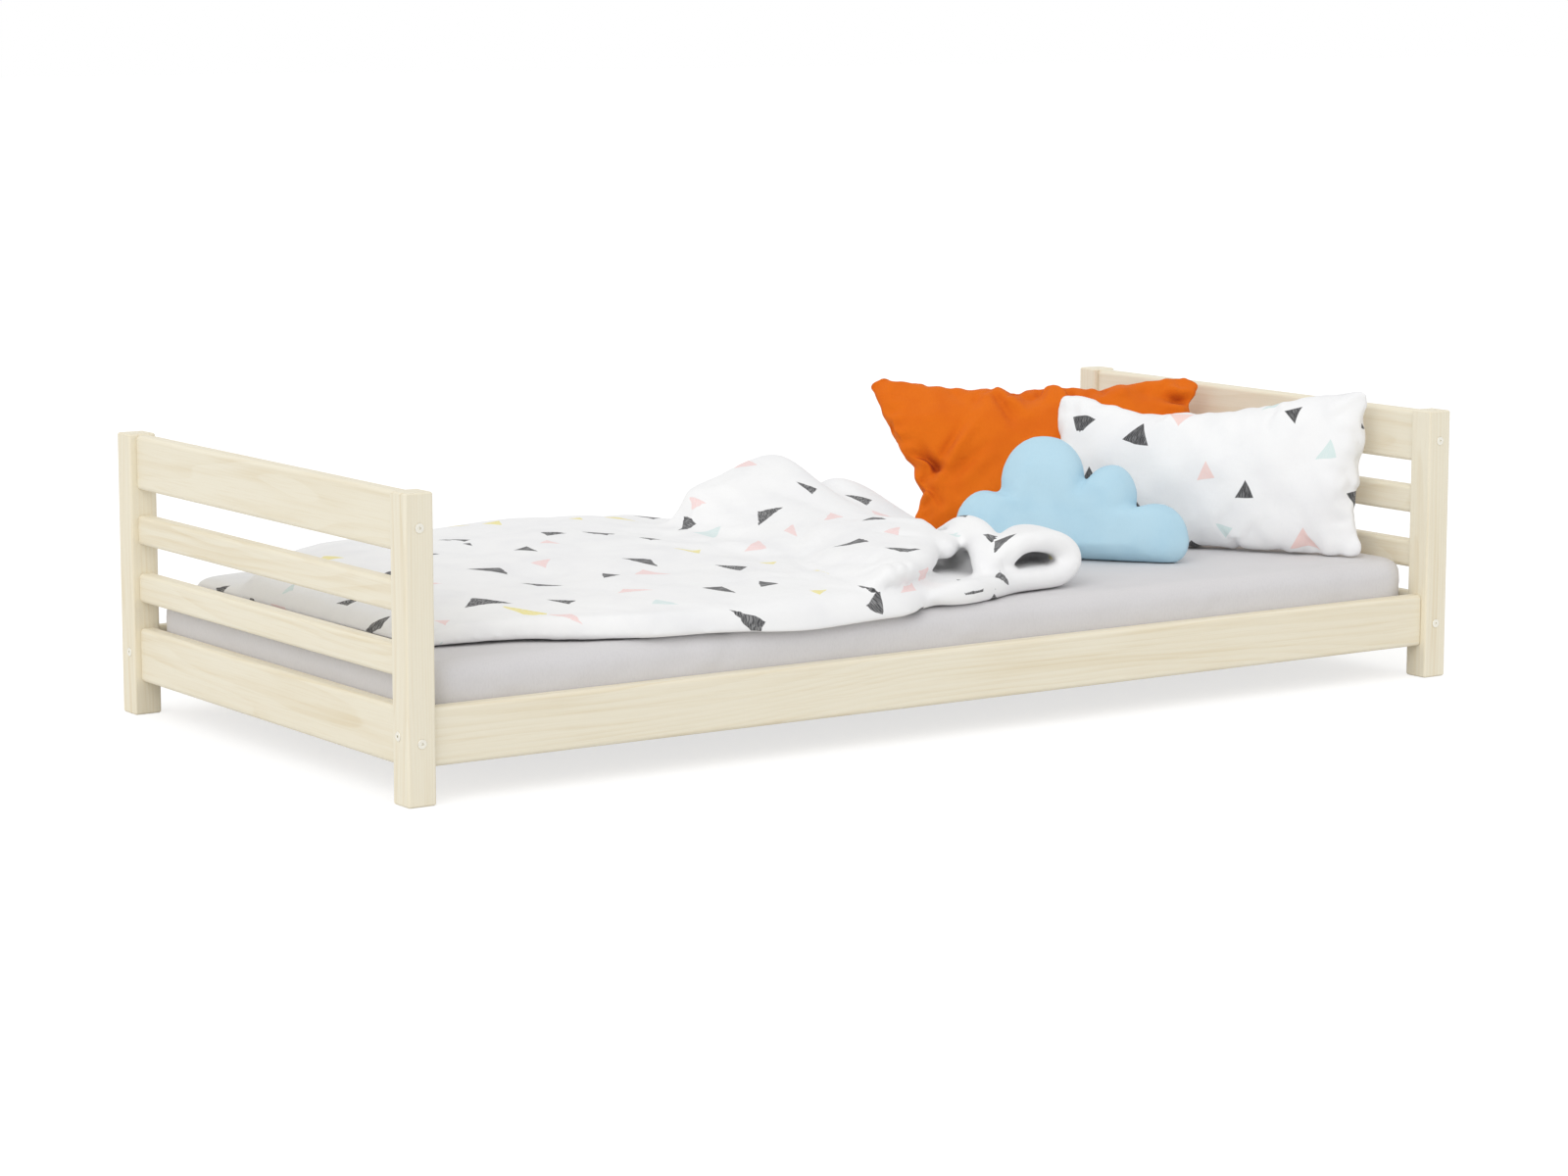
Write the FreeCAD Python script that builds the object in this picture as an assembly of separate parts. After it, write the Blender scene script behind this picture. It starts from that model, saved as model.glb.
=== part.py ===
"""Toddler floor bed in clear-coated softwood, with a slatted base, a mattress and bedding.

The origin is on the floor under the middle of the bed. +X runs from the foot end to the
head end, +Y from the near side to the far side and +Z up. All sizes are in millimetres.
"""
import FreeCAD, Part
import math
import os

# ---- driving dimensions: the mattress that the bed is made for
MATTRESS_L = 2000.0
MATTRESS_W = 900.0
MATTRESS_T = 100.0
MATTRESS_CORNER_R = 62.0
MATTRESS_EDGE_R = 28.0
BED_CLEARANCE = 2.0        # on each side, between the mattress's nominal size and the boards

# ---- posts and boards
POST = 48.0                # square section of a corner post
POST_H = 471.0
POST_EDGE_R = 4.0
POST_END_CHAMFER = 2.5
BOARD_T = 28.0
BOARD_RECESS = 12.0        # how far a board's outer face lies behind the posts' outer faces
BOARD_EDGE_R = 7.0
BOARD_END_CHAMFER = 2.0
RAIL_H = 90.0              # side rails and the lowest board of each end
RAIL_FLOOR_GAP = 56.0
TOP_BOARD_H = 90.0
TOP_BOARD_DROP = 2.0       # below the top of the posts
END_SLAT_H = 48.0          # the two narrow boards between the rail and the top board
END_MIDDLE_GAP = 49.0      # between those two; what is left is shared above and below

# ---- slatted base
SLAT_COUNT = 16
SLAT_W = 70.0
SLAT_T = 17.0
SLAT_EDGE_R = 3.0
SLAT_END_GAP = 3.0         # between a slat's end and the side rail or a corner post
LEDGER_W = 30.0
LEDGER_H = 30.0            # its lower face is level with the side rail's
LEDGER_END_GAP = 2.0       # between a ledger's end and the corner post
TAPE_W = 20.0
TAPE_T = 1.0
TAPE_FROM_SIDE = 190.0     # from the side rail's inner face to the middle of a tape
TAPE_END = 8.0             # how far a tape runs past the middle of the outermost slats
STAPLE_WIRE = 1.0
STAPLE_CROWN = 12.0
STAPLE_LEG = 9.0
STAPLE_PITCH = 30.0        # between the two staples of one slat on one tape
STAPLE_CLEARANCE = 0.1

# ---- connecting hardware
BOLT_R = 3.0
BOLT_PAST_NUT = 4.0        # how far a bolt's tip stands out behind its nut
BOLT_HEAD_R = 7.5
BOLT_HEAD_H = 2.4
BOLT_HEAD_SINK = 1.4
BOLT_HEAD_EDGE = 0.6
HEX_SOCKET = 4.0           # across the flats
HEX_SOCKET_DEPTH = 2.0
BOLT_HOLE_R = 3.5
BOLT_HOLE_SPARE = 1.0      # how much deeper than the bolt its hole is
BOLT_HEAD_CLEARANCE = 0.1
BOLT_BELOW_MIDDLE = 5.5    # end-board bolts, below the middle of their board
BOLT_OFF_CENTRE = 2.0      # end-board bolts, from the middle of the board's thickness outwards
SIDE_BOLT_ABOVE_MIDDLE = 4.0
NUT_R = 5.0
NUT_L = 16.0
SIDE_NUT_DEPTH = 2.0       # from the side rail's inner face to the end of its nut
NUT_CLEARANCE = 0.2
NUT_FROM_END = 30.0        # from the board's end to the nut's axis
NUT_BORE_CLEARANCE = 0.1
DOWEL_R = 4.0
DOWEL_L = 40.0
DOWEL_IN_POST = 18.0
DOWEL_CLEARANCE = 0.1
DOWEL_END_GAP = 1.0
DOWEL_ABOVE_MIDDLE = 22.0
DOWEL_PITCH = 24.0         # between the two dowels at each end of a narrow board
SCREW_R = 2.0
SCREW_HEAD_R = 4.0
SCREW_HEAD_H = 2.6
SCREW_HOLE_CLEARANCE = 0.1
LEDGER_SCREW_L = 45.0
LEDGER_SCREW_COUNT = 7
LEDGER_SCREW_FROM_END = 120.0
SLAT_SCREW_L = 32.0
SLAT_SCREW_FROM_END = 14.0

# ---- textiles
SOFT_GAP = 0.3             # between a soft piece and what it lies on
SHEET_T = 1.2
SHEET_HEM = 75.0           # how far the fitted sheet runs in under the mattress
PRINT_PILLOW_W = 574.0
PRINT_PILLOW_H = 268.0
PRINT_PILLOW_T = 136.0
PRINT_PILLOW_BACK = (167.0, -105.0)  # from the mattress's head end; across the mattress
PRINT_PILLOW_TURN = 121.8            # degrees from +X to its lower edge
PRINT_PILLOW_LEAN = 9.0              # degrees back from upright
ORANGE_PILLOW_W = 585.0
ORANGE_PILLOW_H = 318.0
ORANGE_PILLOW_T = 120.0
ORANGE_PILLOW_FRONT = (415.0, 115.0)
ORANGE_PILLOW_TURN = 142.2
ORANGE_PILLOW_LEAN = 33.0
CLOUD_T = 96.0
CLOUD_FRONT = (408.0, -294.0)        # at the near end of its flat lower edge
CLOUD_TURN = 132.5
CLOUD_LEAN = 15.0

# ---- places worked out from the sizes above
BED_L = MATTRESS_L + 2 * (BED_CLEARANCE + BOARD_T + BOARD_RECESS)
BED_W = MATTRESS_W + 2 * (BED_CLEARANCE + BOARD_T + BOARD_RECESS)
HALF_L = BED_L / 2
HALF_W = BED_W / 2
POST_IN_X = HALF_L - POST
POST_IN_Y = HALF_W - POST
BOARD_OUT_X = HALF_L - BOARD_RECESS
BOARD_IN_X = BOARD_OUT_X - BOARD_T
BOARD_OUT_Y = HALF_W - BOARD_RECESS
BOARD_IN_Y = BOARD_OUT_Y - BOARD_T
RAIL_Z0 = RAIL_FLOOR_GAP
RAIL_Z1 = RAIL_Z0 + RAIL_H
RAIL_MID = (RAIL_Z0 + RAIL_Z1) / 2
TOP_BOARD_Z1 = POST_H - TOP_BOARD_DROP
TOP_BOARD_Z0 = TOP_BOARD_Z1 - TOP_BOARD_H
TOP_BOARD_MID = (TOP_BOARD_Z0 + TOP_BOARD_Z1) / 2
END_OUTER_GAP = (TOP_BOARD_Z0 - RAIL_Z1 - 2 * END_SLAT_H - END_MIDDLE_GAP) / 2
LOWER_SLAT_Z0 = RAIL_Z1 + END_OUTER_GAP
UPPER_SLAT_Z0 = LOWER_SLAT_Z0 + END_SLAT_H + END_MIDDLE_GAP
LEDGER_Z0 = RAIL_Z0
LEDGER_Z1 = LEDGER_Z0 + LEDGER_H
SLAT_Z0 = LEDGER_Z1
SLAT_Z1 = SLAT_Z0 + SLAT_T
LEDGER_MID = (LEDGER_Z0 + LEDGER_Z1) / 2
LEDGER_IN_Y = BOARD_IN_Y - LEDGER_W
LEDGER_HALF_L = POST_IN_X - LEDGER_END_GAP
SLAT_SPAN = 2 * (POST_IN_X - SLAT_END_GAP) - SLAT_W      # between the outermost slats' middles
TAPE_Y = BOARD_IN_Y - TAPE_FROM_SIDE
TAPE_Z0 = SLAT_Z0 - TAPE_T
SHEET_Z0 = SLAT_Z1 + SOFT_GAP
MATTRESS_Z0 = SHEET_Z0 + SHEET_T + SOFT_GAP
BED_TOP = MATTRESS_Z0 + MATTRESS_T + SOFT_GAP + SHEET_T
BEDDING_Z0 = BED_TOP + SOFT_GAP
TOP_BOLT_Z = TOP_BOARD_MID - BOLT_BELOW_MIDDLE
RAIL_BOLT_Z = RAIL_MID - BOLT_BELOW_MIDDLE
SIDE_BOLT_Z = RAIL_MID + SIDE_BOLT_ABOVE_MIDDLE
SIDE_BOLT_Y = BOARD_IN_Y + SIDE_NUT_DEPTH + NUT_L / 2
END_DOWEL_X = (BOARD_OUT_X + BOARD_IN_X) / 2
END_BOLT_X = END_DOWEL_X + BOLT_OFF_CENTRE
SIDE_DOWEL_Y = (BOARD_OUT_Y + BOARD_IN_Y) / 2
BOLT_TIP = POST + NUT_FROM_END + NUT_R + BOLT_PAST_NUT    # from the post's outer face
HEAD_END_X = MATTRESS_L / 2
ENDS = {"foot": -1, "head": 1}
SIDES = {"near": -1, "far": 1}
SAME = 1e-6                # two lengths this close are the same

V = FreeCAD.Vector
X = V(1, 0, 0)
Y = V(0, 1, 0)
Z = V(0, 0, 1)


# ---------------------------------------------------------------- shared shapes
def save(name, shapes):
    """Write one node: a solid, or a group of separate solids."""
    shape = Part.makeCompound(shapes) if isinstance(shapes, list) else shapes
    shape.exportStep("parts/" + name + ".step")


def box_between(x, y, z):
    """A box between pairs of coordinates, in any order."""
    low = V(min(x), min(y), min(z))
    return Part.makeBox(abs(x[1] - x[0]), abs(y[1] - y[0]), abs(z[1] - z[0]), low)


def parallel_edges(shape, axis):
    """The straight edges that run along axis."""
    found = []
    for edge in shape.Edges:
        along = abs(edge.tangentAt(edge.FirstParameter).dot(axis))
        if abs(along - 1) < SAME:
            found.append(edge)
    return found


def end_edges(shape, axis):
    """The edges round both end faces of a bar along axis."""
    along = [v.Point.dot(axis) for v in shape.Vertexes]
    ends = (min(along), max(along))
    found = []
    for edge in shape.Edges:
        at = [v.Point.dot(axis) for v in edge.Vertexes]
        if any(all(abs(a - end) < SAME for a in at) for end in ends):
            found.append(edge)
    return found


def bar(x, y, z, axis, edge_r, end_chamfer):
    """A planed bar: rounded along its length, with its ends lightly chamfered."""
    shape = box_between(x, y, z)
    shape = shape.makeFillet(edge_r, parallel_edges(shape, axis))
    return shape.makeChamfer(end_chamfer, end_edges(shape, axis))


def rod(start, direction, radius, length):
    return Part.makeCylinder(radius, length, start, direction)


def drilled(shape, holes):
    return shape.cut(holes) if holes else shape


# ---------------------------------------------------------------- joints between boards and posts
def corner_signs():
    return [(ex, sy) for ex in ENDS.values() for sy in SIDES.values()]


def end_bolt_seats(ex, sy):
    """Outer ends of the two bolts that run along Y through one post."""
    return [V(ex * END_BOLT_X, sy * HALF_W, z) for z in (TOP_BOLT_Z, RAIL_BOLT_Z)]


def side_bolt_seat(ex, sy):
    return V(ex * HALF_L, sy * SIDE_BOLT_Y, SIDE_BOLT_Z)


def bolt(seat, inward):
    """A flat-headed connector bolt, with its head let into the post."""
    top = seat - inward * (BOLT_HEAD_H - BOLT_HEAD_SINK)
    head = rod(top, inward, BOLT_HEAD_R, BOLT_HEAD_H)
    rim = [e for e in head.Edges if abs((e.CenterOfMass - top).dot(inward)) < SAME]
    head = head.makeFillet(BOLT_HEAD_EDGE, rim)
    shank = rod(seat + inward * BOLT_HEAD_SINK, inward, BOLT_R, BOLT_TIP - BOLT_HEAD_SINK)
    return head.fuse(shank).removeSplitter().cut(hex_prism(top, inward))


def hex_prism(top, inward):
    """The hexagon socket in a bolt's head."""
    side = Z.cross(inward)
    corner_r = HEX_SOCKET / math.sqrt(3)
    points = []
    for k in range(7):
        a = math.radians(60 * k)
        points.append(top + side * (corner_r * math.cos(a)) + Z * (corner_r * math.sin(a)))
    return Part.Face(Part.makePolygon(points)).extrude(inward * HEX_SOCKET_DEPTH)


def bolt_hole(seat, inward):
    """Counterbore and clearance hole for one bolt."""
    counterbore = rod(seat, inward, BOLT_HEAD_R + BOLT_HEAD_CLEARANCE, BOLT_HEAD_SINK)
    return [counterbore, rod(seat, inward, BOLT_HOLE_R, BOLT_TIP + BOLT_HOLE_SPARE)]


def nut_blank(middle, direction, radius, length):
    return rod(middle - direction * (length / 2), direction, radius, length)


def barrel_nut(middle, direction, bolt_direction):
    """A barrel nut with its cross bore."""
    bore = nut_blank(middle, bolt_direction, BOLT_R + NUT_BORE_CLEARANCE, 4 * NUT_R)
    return nut_blank(middle, direction, NUT_R, NUT_L).cut(bore)


def nut_hole(middle, direction, mouth):
    """A blind hole from the mouth to just past the nut, drilled against direction."""
    far_end = middle - direction * (NUT_L / 2 + NUT_CLEARANCE)
    return rod(far_end, direction, NUT_R + NUT_CLEARANCE, (mouth - far_end).dot(direction))


def end_nut_middles(ex, sy):
    """Middles of the barrel nuts of one corner: top board, then end rail."""
    y = sy * (POST_IN_Y - NUT_FROM_END)
    return [V(ex * END_BOLT_X, y, z) for z in (TOP_BOLT_Z, RAIL_BOLT_Z)]


def side_nut_middle(ex, sy):
    return V(ex * (POST_IN_X - NUT_FROM_END), sy * SIDE_BOLT_Y, SIDE_BOLT_Z)


def dowel(seam, outward, radius, end_gap):
    """A dowel across a seam: outward points from the board into the post."""
    start = seam + outward * (DOWEL_IN_POST + end_gap)
    return rod(start, outward * -1, radius, DOWEL_L + 2 * end_gap)


def wide_dowel_seams(ex, sy):
    heights = (TOP_BOARD_MID + DOWEL_ABOVE_MIDDLE, RAIL_MID + DOWEL_ABOVE_MIDDLE)
    return [V(ex * END_DOWEL_X, sy * POST_IN_Y, z) for z in heights]


def narrow_dowel_seams(ex, sy):
    seams = []
    for z0 in (LOWER_SLAT_Z0, UPPER_SLAT_Z0):
        for half in (-0.5, 0.5):
            z = z0 + END_SLAT_H / 2 + half * DOWEL_PITCH
            seams.append(V(ex * END_DOWEL_X, sy * POST_IN_Y, z))
    return seams


def side_dowel_seam(ex, sy):
    return V(ex * POST_IN_X, sy * SIDE_DOWEL_Y, RAIL_MID - DOWEL_ABOVE_MIDDLE)


def dowel_holes(ex, sy):
    """Holes of all the dowels at one corner, for the post and for its boards alike."""
    radius = DOWEL_R + DOWEL_CLEARANCE
    seams = wide_dowel_seams(ex, sy) + narrow_dowel_seams(ex, sy)
    holes = [dowel(s, Y * sy, radius, DOWEL_END_GAP) for s in seams]
    holes.append(dowel(side_dowel_seam(ex, sy), X * ex, radius, DOWEL_END_GAP))
    return holes


def corner_holes(ex, sy):
    """Every hole drilled for the joints of one corner post."""
    holes = dowel_holes(ex, sy)
    for seat in end_bolt_seats(ex, sy):
        holes += bolt_hole(seat, Y * -sy)
    return holes + bolt_hole(side_bolt_seat(ex, sy), X * -ex)


# ---------------------------------------------------------------- posts and boards
def post(ex, sy):
    x = (ex * HALF_L, ex * POST_IN_X)
    y = (sy * HALF_W, sy * POST_IN_Y)
    return drilled(bar(x, y, (0, POST_H), Z, POST_EDGE_R, POST_END_CHAMFER), corner_holes(ex, sy))


def end_board(ex, z0, height):
    """One cross board of an end, between the two posts."""
    x = (ex * BOARD_IN_X, ex * BOARD_OUT_X)
    shape = bar(x, (-POST_IN_Y, POST_IN_Y), (z0, z0 + height), Y, BOARD_EDGE_R, BOARD_END_CHAMFER)
    holes = []
    for sy in SIDES.values():
        holes += corner_holes(ex, sy)
        top_nut, rail_nut = end_nut_middles(ex, sy)
        if z0 == TOP_BOARD_Z0:
            holes.append(nut_hole(top_nut, Z * -1, V(0, 0, TOP_BOARD_Z0)))
        if z0 == RAIL_Z0:
            holes.append(nut_hole(rail_nut, X * -ex, V(ex * BOARD_IN_X, 0, 0)))
    return drilled(shape, holes)


def side_rail(sy):
    y = (sy * BOARD_IN_Y, sy * BOARD_OUT_Y)
    shape = bar((-POST_IN_X, POST_IN_X), y, (RAIL_Z0, RAIL_Z1), X, BOARD_EDGE_R, BOARD_END_CHAMFER)
    holes = ledger_screw_solids(sy, SCREW_HOLE_CLEARANCE)
    for ex in ENDS.values():
        holes += corner_holes(ex, sy)
        holes.append(nut_hole(side_nut_middle(ex, sy), Y * -sy, V(0, sy * BOARD_IN_Y, 0)))
    return drilled(shape, holes)


# ---------------------------------------------------------------- slatted base
def screw(head_top, inward, length, grow):
    """A countersunk screw, or its hole when grow is over 0."""
    cone = Part.makeCone(SCREW_HEAD_R + grow, SCREW_R + grow, SCREW_HEAD_H, head_top, inward)
    shank = rod(head_top, inward, SCREW_R + grow, length + grow)
    return cone.fuse(shank).removeSplitter()


def ledger_screw_solids(sy, grow):
    span = 2 * (LEDGER_HALF_L - LEDGER_SCREW_FROM_END)
    found = []
    for k in range(LEDGER_SCREW_COUNT):
        x = -span / 2 + k * span / (LEDGER_SCREW_COUNT - 1)
        found.append(screw(V(x, sy * LEDGER_IN_Y, LEDGER_MID), Y * sy, LEDGER_SCREW_L, grow))
    return found


def slat_screw_solids(grow):
    """Screws that hold the outermost slats down on the ledgers."""
    y = BOARD_IN_Y - SLAT_END_GAP - SLAT_SCREW_FROM_END
    spots = [V(ex * SLAT_SPAN / 2, sy * y, SLAT_Z1) for ex, sy in corner_signs()]
    return [screw(at, Z * -1, SLAT_SCREW_L, grow) for at in spots]


def ledger(sy):
    y = (sy * LEDGER_IN_Y, sy * BOARD_IN_Y)
    x = (-LEDGER_HALF_L, LEDGER_HALF_L)
    shape = bar(x, y, (LEDGER_Z0, LEDGER_Z1), X, SLAT_EDGE_R, BOARD_END_CHAMFER)
    holes = ledger_screw_solids(sy, SCREW_HOLE_CLEARANCE)
    return drilled(shape, holes + slat_screw_solids(SCREW_HOLE_CLEARANCE))


def slat_middles():
    return [-SLAT_SPAN / 2 + k * SLAT_SPAN / (SLAT_COUNT - 1) for k in range(SLAT_COUNT)]


def staple_middles(x):
    """Middles of the staples that hold one slat on the two tapes."""
    middles = []
    for sy in SIDES.values():
        for half in (-0.5, 0.5):
            middles.append(V(x + half * STAPLE_PITCH, sy * TAPE_Y, TAPE_Z0))
    return middles


def staple_legs(at, grow):
    half = STAPLE_WIRE / 2 + grow
    legs = []
    for side in (-1, 1):
        y = at.y + side * (STAPLE_CROWN - STAPLE_WIRE) / 2
        z = (at.z, at.z + STAPLE_LEG + grow)
        legs.append(box_between((at.x - half, at.x + half), (y - half, y + half), z))
    return legs


def staple(at):
    half = STAPLE_WIRE / 2
    y = (at.y - STAPLE_CROWN / 2, at.y + STAPLE_CROWN / 2)
    crown = box_between((at.x - half, at.x + half), y, (at.z - STAPLE_WIRE, at.z))
    return crown.fuse(staple_legs(at, 0)).removeSplitter()


def base_slat(x):
    half_l = BOARD_IN_Y - SLAT_END_GAP
    sides = (x - SLAT_W / 2, x + SLAT_W / 2)
    shape = bar(sides, (-half_l, half_l), (SLAT_Z0, SLAT_Z1), Y, SLAT_EDGE_R, BOARD_END_CHAMFER / 2)
    holes = []
    for at in staple_middles(x):
        holes += staple_legs(at, STAPLE_CLEARANCE)
    if abs(abs(x) - SLAT_SPAN / 2) < SAME:
        holes += slat_screw_solids(SCREW_HOLE_CLEARANCE)
    return drilled(shape, holes)


def tape(sy):
    """A webbing tape under the slats that keeps them evenly spaced."""
    half_l = SLAT_SPAN / 2 + STAPLE_PITCH / 2 + TAPE_END
    y = (sy * TAPE_Y - TAPE_W / 2, sy * TAPE_Y + TAPE_W / 2)
    shape = box_between((-half_l, half_l), y, (TAPE_Z0, SLAT_Z0))
    holes = []
    for x in slat_middles():
        for at in staple_middles(x):
            if at.y * sy > 0:
                holes += staple_legs(at, STAPLE_CLEARANCE)
    return shape.cut(holes)


# ---------------------------------------------------------------- mattress and fitted sheet
def mattress_form(grow):
    """The mattress block, grown outwards by grow on every side."""
    half_l = MATTRESS_L / 2 + grow
    half_w = MATTRESS_W / 2 + grow
    z = (MATTRESS_Z0 - grow, MATTRESS_Z0 + MATTRESS_T + grow)
    block = box_between((-half_l, half_l), (-half_w, half_w), z)
    block = block.makeFillet(MATTRESS_CORNER_R + grow, parallel_edges(block, Z))
    return block.makeFillet(MATTRESS_EDGE_R + grow, end_edges(block, Z))


def fitted_sheet():
    """A sheet stretched over the mattress and drawn in under its edges."""
    shell = mattress_form(SOFT_GAP + SHEET_T).cut(mattress_form(SOFT_GAP))
    half_l = MATTRESS_L / 2 - SHEET_HEM
    half_w = MATTRESS_W / 2 - SHEET_HEM
    z = (SHEET_Z0 - SHEET_T, MATTRESS_Z0 + SOFT_GAP)
    mouth = box_between((-half_l, half_l), (-half_w, half_w), z)
    return shell.cut(mouth.makeFillet(MATTRESS_CORNER_R, parallel_edges(mouth, Z)))


# ---------------------------------------------------------------- pillows
# distance from the middle as a share of half the width; height share; thickness share
PILLOW_STATIONS = (
    (1.0, 1.0, 0.10),
    (0.95, 0.985, 0.36),
    (0.82, 0.965, 0.72),
    (0.5, 0.945, 0.95),
    (0.0, 0.935, 1.0),
)


def lens(x, height, thick):
    """A pillow's cross-section: two arcs between its lower and its upper seam."""
    low = V(x, 0, 0)
    high = V(x, 0, height)
    front = Part.Arc(low, V(x, thick / 2, height / 2), high).toShape()
    back = Part.Arc(high, V(x, -thick / 2, height / 2), low).toShape()
    return Part.Wire([front, back])


def pillow_form(width, height, thick):
    """A stuffed pillow on its long edge: crowned, thin at the ends, drawn in between the corners."""
    stations = [(-s, h, t) for s, h, t in PILLOW_STATIONS]
    stations += [(s, h, t) for s, h, t in reversed(PILLOW_STATIONS[:-1])]
    wires = [lens(s * width / 2, h * height, t * thick) for s, h, t in stations]
    return Part.makeLoft(wires, True, False)


def stood(shape, at, turn, lean, forward):
    """Stand a form's lowest point on the bed, turned and leant back.

    at is a point of its front or its back, and its middle lies forward of that.
    """
    place = FreeCAD.Placement(V(HEAD_END_X - at[0], at[1], 0), FreeCAD.Rotation(Z, turn))
    tilt = FreeCAD.Placement(V(0, forward, 0), FreeCAD.Rotation(X, lean))
    stood_shape = shape.copy()
    stood_shape.Placement = place.multiply(tilt)
    lowest = stood_shape.optimalBoundingBox(False, False).ZMin
    stood_shape.translate(V(0, 0, BEDDING_Z0 - lowest))
    return stood_shape


# ---------------------------------------------------------------- cloud cushion
# outline from its near lower corner, as (start, way point) of each arc; the last point closes it
CLOUD_ARCS = (
    ((20, 0), (-12, 20)), ((-14, 50), (22, 99)),
    ((83, 95), (82, 140)), ((112, 174), (153, 173)),
    ((174, 141), (190, 196)), ((249, 222), (309, 200)),
    ((323, 126), (385, 110)), ((415, 52), (412, 20)),
    ((385, 0), None),
)
CLOUD_CORE = (200.0, 70.0)
# depth as a share of half the thickness; size share
CLOUD_HALF = ((1.0, 0.5), (0.9, 0.74), (0.6, 0.92))
CLOUD_STATIONS = [(-depth, share) for depth, share in CLOUD_HALF] + [(0.0, 1.0)]
CLOUD_STATIONS += reversed(CLOUD_HALF)


def cloud_point(point, share, y):
    """A point of the outline, drawn in towards the cloud's core."""
    x, z = [core + (at - core) * share for at, core in zip(point, CLOUD_CORE)]
    return V(x, y, z)


def cloud_outline(share, y):
    edges = []
    for k, (start, way) in enumerate(CLOUD_ARCS):
        end = CLOUD_ARCS[(k + 1) % len(CLOUD_ARCS)][0]
        a = cloud_point(start, share, y)
        b = cloud_point(end, share, y)
        if way is None:
            edges.append(Part.LineSegment(a, b).toShape())
        else:
            edges.append(Part.Arc(a, cloud_point(way, share, y), b).toShape())
    return Part.Wire(edges)


def cloud_form():
    wires = [cloud_outline(share, depth * CLOUD_T / 2) for depth, share in CLOUD_STATIONS]
    return Part.makeLoft(wires, True, False)


# ---------------------------------------------------------------- duvet
DUVET_FROM_FOOT = 70.0     # from the mattress's foot end
DUVET_FROM_HEAD = 660.0
# share of the length; how far in the near edge lies from the mattress's side, its thickness;
# the same for the far edge; height at the near quarter, at the middle and at the far quarter
DUVET_STATIONS = (
    (0.0, 138, 18, 16, 18, 22, 24, 22),
    (0.02, 124, 30, 4, 34, 40, 46, 44),
    (0.06, 105, 38, -6, 54, 48, 58, 60),
    (0.165, 60, 42, -14, 62, 52, 64, 72),
    (0.29, 0, 44, -16, 72, 54, 70, 84),
    (0.43, -20, 45, -17, 82, 55, 72, 92),
    (0.575, -24, 45, -16, 70, 56, 68, 80),
    (0.66, -21, 45, -14, 56, 60, 66, 68),
    (0.7, -19, 45, -13, 56, 62, 74, 92),
    (0.74, -15, 45, -11, 60, 66, 86, 138),
    (0.795, -7, 46, -6, 62, 72, 100, 170),
    (0.855, 8, 48, 2, 60, 82, 106, 162),
    (0.915, 30, 50, 14, 56, 92, 98, 136),
    (0.965, 58, 50, 40, 52, 96, 90, 98),
    (0.99, 78, 44, 65, 44, 80, 76, 78),
    (1.0, 98, 26, 90, 26, 44, 42, 42),
)
DUVET_EDGE_DEPTH = 0.42    # how far in the rounded edge's ends lie, as a share of its thickness
DUVET_QUARTER = 0.24       # where the quarter heights lie, as a share of the width


def duvet_section(share, near_inset, near_edge, far_inset, far_edge, near_h, middle_h, far_h):
    """One cross-section: flat below, a rounded edge on each side and a crown of two arcs."""
    length = MATTRESS_L - DUVET_FROM_FOOT - DUVET_FROM_HEAD
    x = DUVET_FROM_FOOT - HEAD_END_X + share * length
    near = near_inset - MATTRESS_W / 2
    far = MATTRESS_W / 2 - far_inset
    z = BEDDING_Z0
    near_in = near + near_edge * DUVET_EDGE_DEPTH
    far_in = far - far_edge * DUVET_EDGE_DEPTH
    quarter = DUVET_QUARTER * (far - near)
    low_near = V(x, near_in, z)
    top_near = V(x, near_in, z + near_edge)
    low_far = V(x, far_in, z)
    top_far = V(x, far_in, z + far_edge)
    crown = V(x, (near + far) / 2, z + middle_h)
    edges = [
        Part.LineSegment(low_far, low_near).toShape(),
        Part.Arc(low_near, V(x, near, z + near_edge / 2), top_near).toShape(),
        Part.Arc(top_near, V(x, near + quarter, z + near_h), crown).toShape(),
        Part.Arc(crown, V(x, far - quarter, z + far_h), top_far).toShape(),
        Part.Arc(top_far, V(x, far, z + far_edge / 2), low_far).toShape(),
    ]
    return Part.Wire(edges)


def duvet_form():
    """The duvet over the foot half: a flat part, a pushed-up hump and a turned-back end."""
    return Part.makeLoft([duvet_section(*station) for station in DUVET_STATIONS], True, False)


# ---------------------------------------------------------------- writing the nodes
def save_frame():
    for end, ex in ENDS.items():
        for side, sy in SIDES.items():
            save("post_" + end + "_" + side, post(ex, sy))
        save(end + "_top_board", end_board(ex, TOP_BOARD_Z0, TOP_BOARD_H))
        save(end + "_upper_board", end_board(ex, UPPER_SLAT_Z0, END_SLAT_H))
        save(end + "_lower_board", end_board(ex, LOWER_SLAT_Z0, END_SLAT_H))
        save(end + "_rail", end_board(ex, RAIL_Z0, RAIL_H))
    for side, sy in SIDES.items():
        save("side_rail_" + side, side_rail(sy))


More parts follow.
